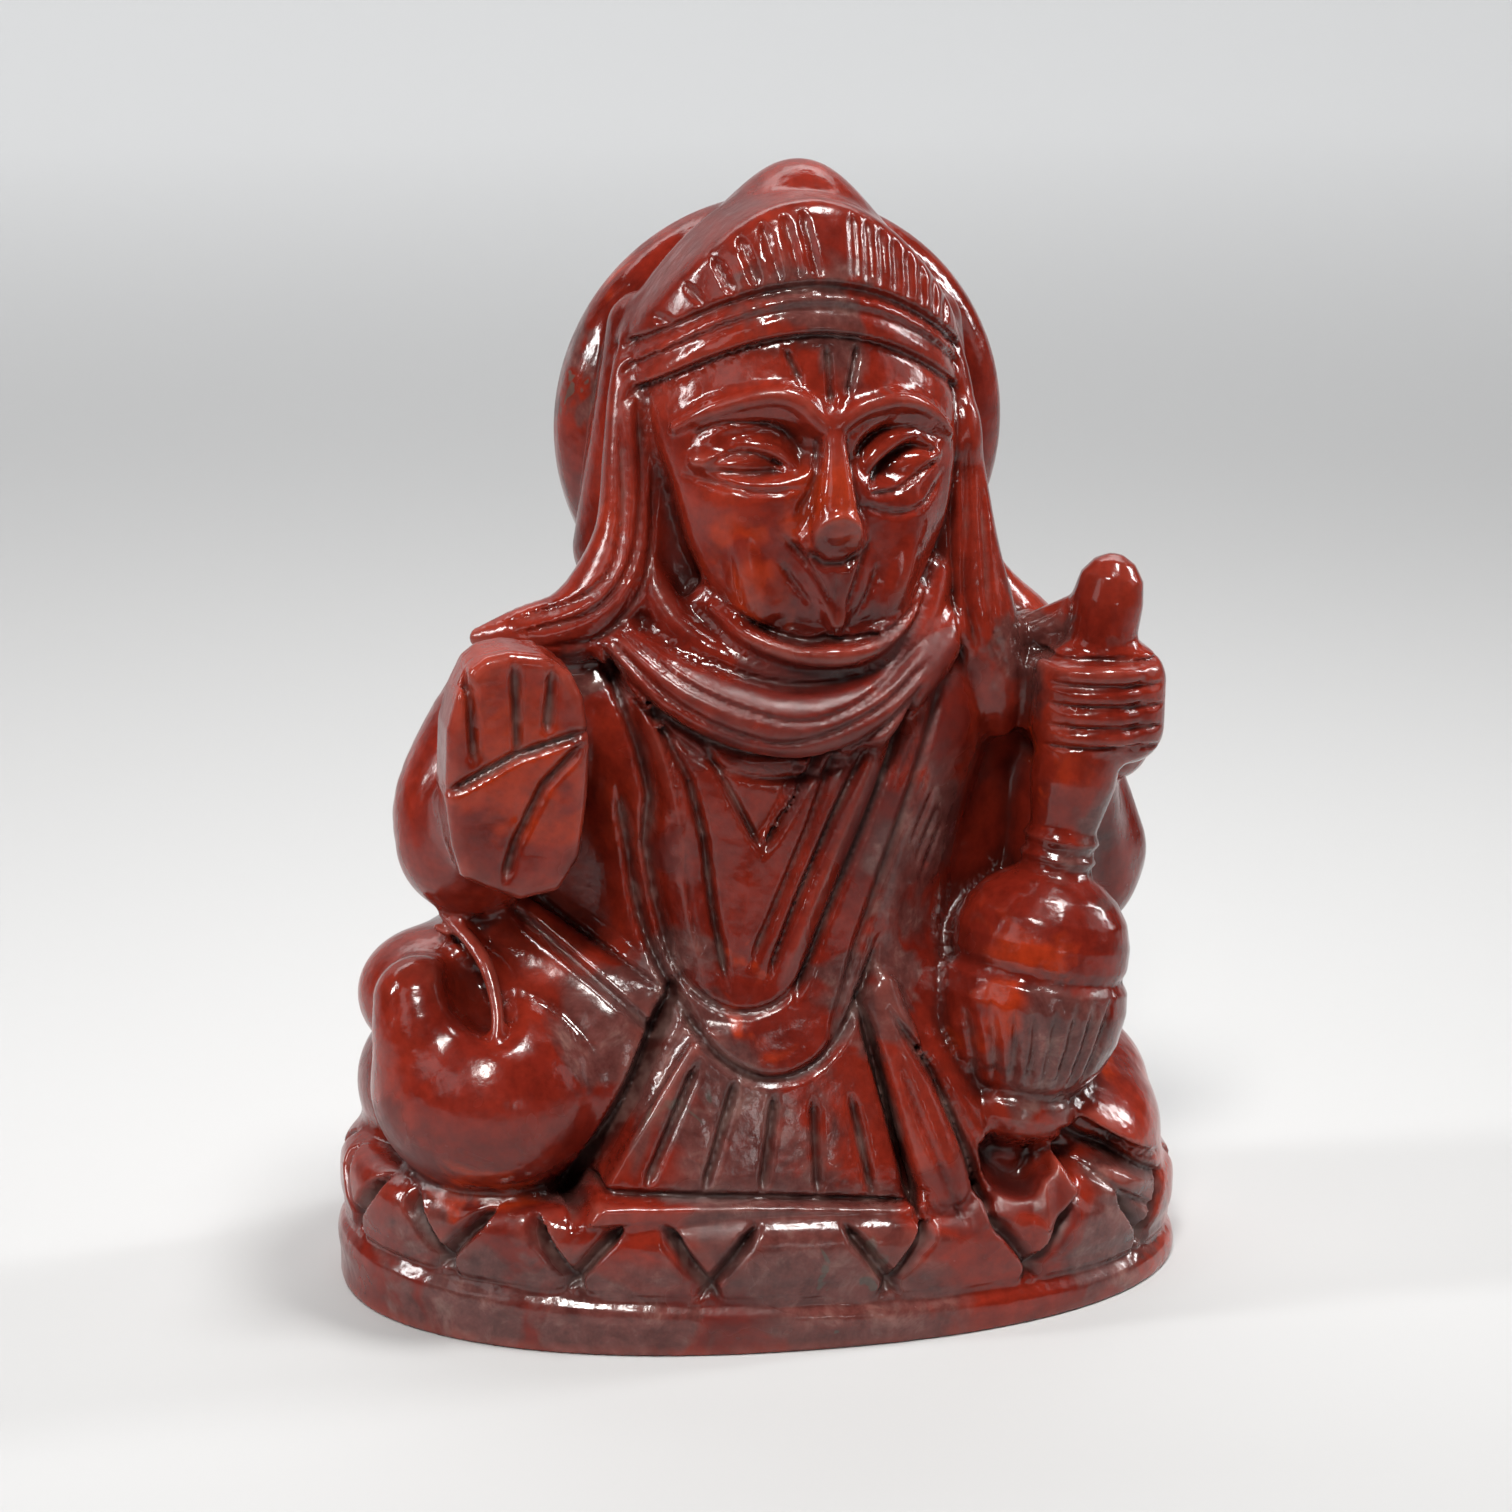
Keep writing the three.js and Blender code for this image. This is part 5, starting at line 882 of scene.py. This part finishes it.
def skin(grid):
    """One vertex in each cell that the surface crosses, and a quad round each crossed edge."""
    pattern = patterns(grid)
    cells = np.argwhere((pattern > 0) & (pattern < 255))
    code = pattern[tuple(cells.T)]
    number = np.full(pattern.shape, -1, np.int32)
    number[tuple(cells.T)] = np.arange(len(cells))
    total = np.zeros((len(cells), 3))
    crossings = np.zeros(len(cells))
    for a in range(8):
        for axis in range(3):
            b = a | (1 << axis)
            if b == a:
                continue
            crossed = ((code >> a) & 1) != ((code >> b) & 1)
            some = cells[crossed]
            fa, fb = grid[tuple((some + CORNERS[a]).T)], grid[tuple((some + CORNERS[b]).T)]
            total[crossed] += CORNERS[a]
            total[crossed, axis] += fa / (fa - fb)
            crossings[crossed] += 1
    places = cells + total / crossings[:, None]
    quads = []
    for axis in range(3):
        crossed = (code & 1) != ((code >> (1 << axis)) & 1)
        p, q = np.zeros(3, int), np.zeros(3, int)
        p[(axis + 1) % 3], q[(axis + 2) % 3] = 1, 1
        at = cells[crossed]
        ring = np.stack([number[tuple((at - shift).T)] for shift in (0 * p, p, p + q, q)], 1)
        outward = (code[crossed] & 1) == 1
        quads.append(np.where(outward[:, None], ring, ring[:, ::-1]))
    return places, np.concatenate(quads)


def largest_shell(places, quads):
    """Drops any stray shell, such as a bubble sealed inside."""
    label = np.arange(len(places))
    ends = np.stack([quads, np.roll(quads, 1, 1)], 2).reshape(-1, 2)
    while True:
        low = np.minimum(label[ends[:, 0]], label[ends[:, 1]])
        after = label.copy()
        np.minimum.at(after, ends[:, 0], low)
        np.minimum.at(after, ends[:, 1], low)
        after = after[after]
        if (after == label).all():
            break
        label = after
    keep = label == np.bincount(label).argmax()
    quads = quads[keep[quads[:, 0]]]
    return places[keep], (np.cumsum(keep) - 1)[quads]


def fullness(grid, near):
    """How much of the space round each grid point is stone: a half on flat ground, more in hollows."""
    full = np.clip(0.5 - grid / (2 * GRAIN), 0, 1)
    for axis in range(3):
        for _ in range(2):
            edges = [(near + 1, near) if a == axis else (0, 0) for a in range(3)]
            total = np.moveaxis(np.cumsum(np.pad(full, edges, mode="edge"), axis=axis), axis, 0)
            full = np.moveaxis((total[2 * near + 1:] - total[:-2 * near - 1]) / (2 * near + 1), 0, axis)
    return full


def make_carving(clay):
    mend(clay.grid)
    at, quads = largest_shell(*skin(clay.grid))
    for _ in range(2):
        grow = slope(clay.grid, at)
        length = np.linalg.norm(grow, axis=1) + TINY
        move = np.clip(sample(clay.grid, at) / length, -LONGEST_MOVE, LONGEST_MOVE)
        at -= grow * (move / length)[:, None]
    places = (clay.low + at * GRAIN + [0, 0, PLINTH_HIGH]) * MM
    places[:, 2] = np.maximum(places[:, 2], 0)
    mesh = bpy.data.meshes.new("carving")
    mesh.from_pydata(places.tolist(), [], quads.tolist())
    mesh.update()
    carving = bpy.data.objects.new("carving", mesh)
    bpy.context.scene.collection.objects.link(carving)
    thin = carving.modifiers.new("thin", "DECIMATE")
    thin.ratio = TRIANGLES / (2 * len(quads))
    thin.use_collapse_triangulate = True
    thinned = carving.evaluated_get(bpy.context.evaluated_depsgraph_get())
    finished = bpy.data.meshes.new_from_object(thinned)
    carving.modifiers.clear()
    carving.data = finished
    finished.name = "carving"
    bpy.data.meshes.remove(mesh)
    count = len(finished.vertices)
    flat = np.empty(3 * count)
    finished.vertices.foreach_get("co", flat)
    at = (flat.reshape(-1, 3) / MM - [0, 0, PLINTH_HIGH] - clay.low) / GRAIN
    grow = slope(clay.grid, at)
    grow /= np.linalg.norm(grow, axis=1)[:, None] + 1e-9
    finished.polygons.foreach_set("use_smooth", np.ones(len(finished.polygons), bool))
    finished.normals_split_custom_set_from_vertices(grow.tolist())
    scored = finished.attributes.new("scored", "FLOAT", "POINT")
    scored.data.foreach_set("value", np.clip(sample(clay.scored, at), 0, DEEPEST_SCORE).astype(F))
    hollow = finished.attributes.new("hollow", "FLOAT", "POINT")
    full = sample(fullness(clay.grid, HOLLOW_REACH), at)
    hollow.data.foreach_set("value", (2 * full - 1).astype(F))
    return carving


# Stone

# Spots in the stone, in millimetres from the middle of the base, each with its radius: grey-brown
# clouds, bright red embers, dull dark red deeps and grey-green veins.
CLOUDS = [(13, -14, 44, 9), (8, -16, 33, 6), (-15, -17, 30, 9), (-9, -18, 22, 8), (-27, -12, 6, 10),
          (24, -20, 26, 8), (30, -12, 42, 6), (-4, -24, 13, 10), (2, -24, 4, 12), (-20, -24, 5, 8),
          (-16, 8, 84, 5), (1, -14, 92, 7), (22, -6, 60, 6), (-22, -8, 58, 5), (30, -16, 6, 8),
          (0, 16, 50, 18), (-30, 10, 30, 12)]
EMBERS = [(-26, -17, 54, 8), (-5, -19, 31, 3.5), (18, -18, 36, 6), (15, -18, 28, 4), (-17, 8, 96, 5),
          (2, -17, 75, 5), (27, -8, 20, 5), (-30, -16, 14, 4), (26, -10, 50, 4), (33, 0, 14, 6),
          (-8, -16, 70, 5), (20, 14, 30, 12), (-12, 14, 20, 10)]
DEEPS = [(-6, -17, 58, 7), (2, -18, 56, 8), (10, -15, 60, 7), (14, -12, 54, 6), (4, -15, 48, 6),
         (-18, -14, 44, 6), (-34, -12, 16, 7), (18, -20, 12, 7), (28, -16, 30, 5), (-10, -22, 8, 6)]
VEINS = [(-22, 5, 79.5, 1.7), (-20, 4, 79.3, 1.6), (-18, 4, 79.6, 1.5), (-16, 3, 79.8, 1.3),
         (3.6, -24, 7, 1.6), (3.2, -24, 5, 1.4), (3.4, -24, 3, 1.5), (3, -24, 1, 1.4),
         (21.5, 5, 66, 1.4), (-31, -14, 36, 1.5), (-12, -20, 22, 1.6)]

# How far a place is pushed about before its nearness to a spot is read, in millimetres
PUSH = 22
# Colours, as red, green and blue light; the two lists are ramps, each colour with its place
DARK_RED = (0.085, 0.006, 0.0035)
EMBER_RED = (0.330, 0.028, 0.006)
VEIN_GREY = (0.080, 0.070, 0.058)
# Colour of the painted shade laid into hollows
HOLLOW_PAINTED_SHADE = (0.022, 0.0045, 0.0035)
# Paler colour on convex edges: partly wear, partly a painted highlight
EDGE_WEAR_AND_HIGHLIGHT = (0.330, 0.065, 0.045)
# Colour of the painted shade laid into cut lines
GROOVE_SHADE = (0.030, 0.007, 0.005)
DUST = (0.290, 0.175, 0.150)
BASE_REDS = [(0.30, (0.085, 0.007, 0.004)), (0.46, (0.155, 0.012, 0.006)),
             (0.58, (0.215, 0.018, 0.008)), (0.76, (0.300, 0.030, 0.012))]
CLOUD_GREYS = [(0.36, (0.060, 0.020, 0.018)), (0.55, (0.115, 0.045, 0.040)),
               (0.72, (0.200, 0.110, 0.095))]


def jasper():
    material = bpy.data.materials.new("jasper")
    material.use_nodes = True
    tree = material.node_tree
    tree.nodes.clear()
    link = tree.links.new

    def node(kind, **values):
        """A node with some of its settings and inputs given."""
        made = tree.nodes.new("ShaderNode" + kind)
        for name, value in values.items():
            if hasattr(made, name):
                setattr(made, name, value)
            else:
                made.inputs[name.replace("_", " ")].default_value = value
        return made

    out = node("OutputMaterial")
    shader = node("BsdfPrincipled", IOR=1.54, Specular_IOR_Level=0.42)
    link(shader.outputs["BSDF"], out.inputs["Surface"])
    place = node("TexCoord").outputs["Object"]

    def math_node(kind, *values):
        made = node("Math", operation=kind)
        for value, socket in zip(values, made.inputs):
            if isinstance(value, float):
                socket.default_value = value
            else:
                link(value, socket)
        return made.outputs[0]

    def noise(scale, detail, rough, distort, moved=0.0):
        """Noise read from a place of its own, so that no two layers line up."""
        shift = node("Mapping", Location=(moved, moved * 0.7, moved * 1.3))
        link(place, shift.inputs["Vector"])
        made = node("TexNoise", Scale=scale, Detail=detail, Roughness=rough, Distortion=distort)
        link(shift.outputs["Vector"], made.inputs["Vector"])
        return made.outputs

    def ramp(value, stops):
        made = node("ValToRGB")
        link(value, made.inputs["Fac"])
        points = made.color_ramp.elements
        while len(points) < len(stops):
            points.new(0.5)
        for point, (at, shade) in zip(points, stops):
            point.position = at
            point.color = (shade, shade, shade, 1) if isinstance(shade, float) else (*shade, 1)
        return made.outputs["Color"]

    def mix(amount, a, b, blend="MIX"):
        """Two colours mixed; the node's own colour sockets are its inputs 6 and 7 and its output 2."""
        made = node("Mix", data_type="RGBA", blend_type=blend)
        for value, socket in ((amount, made.inputs[0]), (a, made.inputs[6]), (b, made.inputs[7])):
            if isinstance(value, tuple):
                socket.default_value = (*value, 1)
            elif isinstance(value, float):
                socket.default_value = value
            else:
                link(value, socket)
        return made.outputs[2]

    # Places pushed about by a coarse noise, so that clouds get torn edges.
    stir = noise(110, 3, 0.62, 0.6, 2.0)["Color"]
    pushed = node("VectorMath", operation="MULTIPLY_ADD")
    link(stir, pushed.inputs[0])
    pushed.inputs[1].default_value = (PUSH * MM, PUSH * MM, PUSH * MM)
    link(place, pushed.inputs[2])

    def blobs(spots):
        """Nearness to a list of spots: 1 at a spot's middle and nought at its edge."""
        # The noise that pushes has a mean of a half, so the spots move by half the push.
        most = None
        for x, y, z, r in spots:
            off = node("VectorMath", operation="DISTANCE")
            link(pushed.outputs[0], off.inputs[0])
            off.inputs[1].default_value = [(middle + PUSH / 2) * MM for middle in (x, y, z)]
            here = math_node("SUBTRACT", 1.0, math_node("DIVIDE", off.outputs["Value"], r * MM))
            most = here if most is None else math_node("MAXIMUM", most, here)
        return most

    base = ramp(noise(42, 5, 0.62, 0.5)["Fac"], BASE_REDS)
    deep = ramp(blobs(DEEPS), [(0.0, 0.0), (0.40, 0.75)])
    base = mix(deep, base, DARK_RED)
    ember = ramp(blobs(EMBERS), [(0.0, 0.0), (0.45, 0.80)])
    colour = mix(ember, base, EMBER_RED)
    cloud = ramp(blobs(CLOUDS), [(0.0, 0.0), (0.28, 0.80)])
    murk = ramp(noise(260, 4, 0.7, 0.4, 4.0)["Fac"], CLOUD_GREYS)
    colour = mix(cloud, colour, murk)
    colour = mix(ramp(blobs(VEINS), [(0.0, 0.0), (0.30, 0.75)]), colour, VEIN_GREY)
    speck = ramp(noise(620, 3, 0.7, 0.0, 6.0)["Fac"], [(0.34, 0.55), (0.62, 1.35)])
    colour = mix(0.45, colour, speck, "MULTIPLY")

    # Painted shade darkens the hollows, and edges are painted paler: partly wear, partly a painted
    # highlight.
    hollow = node("Attribute", attribute_name="hollow").outputs["Fac"]
    # Painted shade: the deeper the hollow, the darker the colour
    colour = mix(ramp(math_node("ADD", hollow, 0.5), [(0.58, 0.0), (0.92, 0.80)]), colour, HOLLOW_PAINTED_SHADE)
    # Convex edges are painted paler, as wear and as a painted highlight where they catch the light
    wear_and_highlight = math_node("MULTIPLY", ramp(math_node("ADD", hollow, 0.5), [(0.08, 0.55), (0.34, 0.0)]),
                     ramp(noise(300, 3, 0.6, 0.3, 9.0)["Fac"], [(0.35, 0.2), (0.65, 1.0)]))
    colour = mix(wear_and_highlight, colour, EDGE_WEAR_AND_HIGHLIGHT)

    # Cut lines are left duller, with painted shade darkening them and a little pale dust in them.
    scored = node("Attribute", attribute_name="scored").outputs["Fac"]
    # Painted shade: the deeper the cut, the darker the colour
    colour = mix(ramp(scored, [(0.20, 0.0), (0.75, 0.60)]), colour, GROOVE_SHADE)
    dusty = math_node("MULTIPLY", ramp(scored, [(0.10, 0.0), (0.70, 1.0)]),
                      ramp(noise(230, 3, 0.7, 0.3, 8.0)["Fac"], [(0.46, 0.0), (0.72, 0.40)]))
    colour = mix(dusty, colour, DUST)
    link(colour, shader.inputs["Base Color"])

    polish = ramp(noise(120, 3, 0.65, 0.5, 5.0)["Fac"], [(0.35, 0.10), (0.70, 0.28)])
    rough = math_node("ADD", polish, math_node("MULTIPLY", ramp(scored, [(0.05, 0.0), (0.8, 1.0)]), 0.22))
    rough = math_node("ADD", rough, math_node("MULTIPLY", deep, 0.28))
    link(rough, shader.inputs["Roughness"])

    # Broad waves left by the polishing, with fine scuffs over them.
    wavy = node("Bump", Strength=0.45, Distance=0.0007)
    link(noise(170, 3, 0.55, 0.0, 1.0)["Fac"], wavy.inputs["Height"])
    fine = node("Bump", Strength=0.22, Distance=0.00018)
    link(noise(700, 3, 0.65, 0.0, 2.0)["Fac"], fine.inputs["Height"])
    link(wavy.outputs["Normal"], fine.inputs["Normal"])
    link(fine.outputs["Normal"], shader.inputs["Normal"])
    return material


# Floor, backdrop and lights

PAPER = (0.50, 0.505, 0.51)
MIDDLE = (0, 0, 0.05)
# Name, place, aim, width, height, power, spread in degrees, and colour where it isn't white
LIGHTS = [
    ("window", (-0.28, -0.60, 0.85), MIDDLE, 0.16, 0.22, 0.40, 42, (1, 0.97, 0.93)),
    ("ceiling", (0.24, -0.14, 0.92), MIDDLE, 0.22, 0.16, 0.36, 44, (1, 0.98, 0.96)),
    ("left", (-0.80, 0, 0.45), MIDDLE, 0.08, 0.40, 0.32, 50),
    ("side", (0.75, 0.1, 0.45), MIDDLE, 0.08, 0.45, 0.30, 50),
    ("soft left", (-0.70, -0.44, 0.50), MIDDLE, 0.30, 0.42, 0.55, 180),
    ("soft right", (0.78, -0.20, 0.35), MIDDLE, 0.22, 0.40, 0.25, 180),
    ("low front", (0.22, -0.95, 0.22), MIDDLE, 0.14, 0.09, 0.22, 180),
    ("back", (0, 0.85, 1), (0, 0.95, 0.1), 2, 0.5, 11.5, 130),
]


def plain(name, colour, rough):
    material = bpy.data.materials.new(name)
    material.use_nodes = True
    shader = material.node_tree.nodes["Principled BSDF"]
    shader.inputs["Base Color"].default_value = (*colour, 1)
    shader.inputs["Roughness"].default_value = rough
    return material


def make_sweep():
    """A floor that curves up into a backdrop."""
    wide, front, back, bend, high = 3.0, -1.6, 0.75, 0.35, 2.4
    steps = 16
    profile = [(front, 0.0)]
    for i in range(steps + 1):
        angle = math.pi / 2 * i / steps
        profile.append((back + bend * math.sin(angle), bend * (1 - math.cos(angle))))
    profile.append((back + bend, high))
    vertices = [(x, y, z) for x in (-wide, wide) for y, z in profile]
    n = len(profile)
    faces = [(i, n + i, n + i + 1, i + 1) for i in range(n - 1)]
    mesh = bpy.data.meshes.new("sweep")
    mesh.from_pydata(vertices, [], faces)
    mesh.polygons.foreach_set("use_smooth", [True] * len(faces))
    sweep = bpy.data.objects.new("sweep", mesh)
    sweep.data.materials.append(plain("paper", PAPER, 0.8))
    bpy.context.scene.collection.objects.link(sweep)


def make_light(name, place, aim, wide, high, power, spread, colour=(1, 1, 1)):
    light = bpy.data.lights.new(name, "AREA")
    light.shape = "RECTANGLE"
    light.size, light.size_y = wide, high
    light.energy = power
    light.color = colour
    light.spread = math.radians(spread)
    holder = bpy.data.objects.new(name, light)
    holder.location = place
    holder.rotation_mode = "QUATERNION"
    holder.rotation_quaternion = (Vector(aim) - Vector(place)).to_track_quat("-Z", "Y")
    bpy.context.scene.collection.objects.link(holder)


def make_world():
    world = bpy.data.worlds.new("room")
    world.use_nodes = True
    sky = world.node_tree.nodes["Background"]
    sky.inputs["Color"].default_value = (1.0, 0.97, 0.94, 1)
    sky.inputs["Strength"].default_value = 0.03
    bpy.context.scene.world = world


carving = make_carving(clay)
carving.data.materials.append(jasper())
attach(carving, "root")
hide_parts("hanuman_carving")

make_sweep()
make_world()
bpy.context.scene.view_settings.view_transform = "Standard"
for light in LIGHTS:
    make_light(*light)
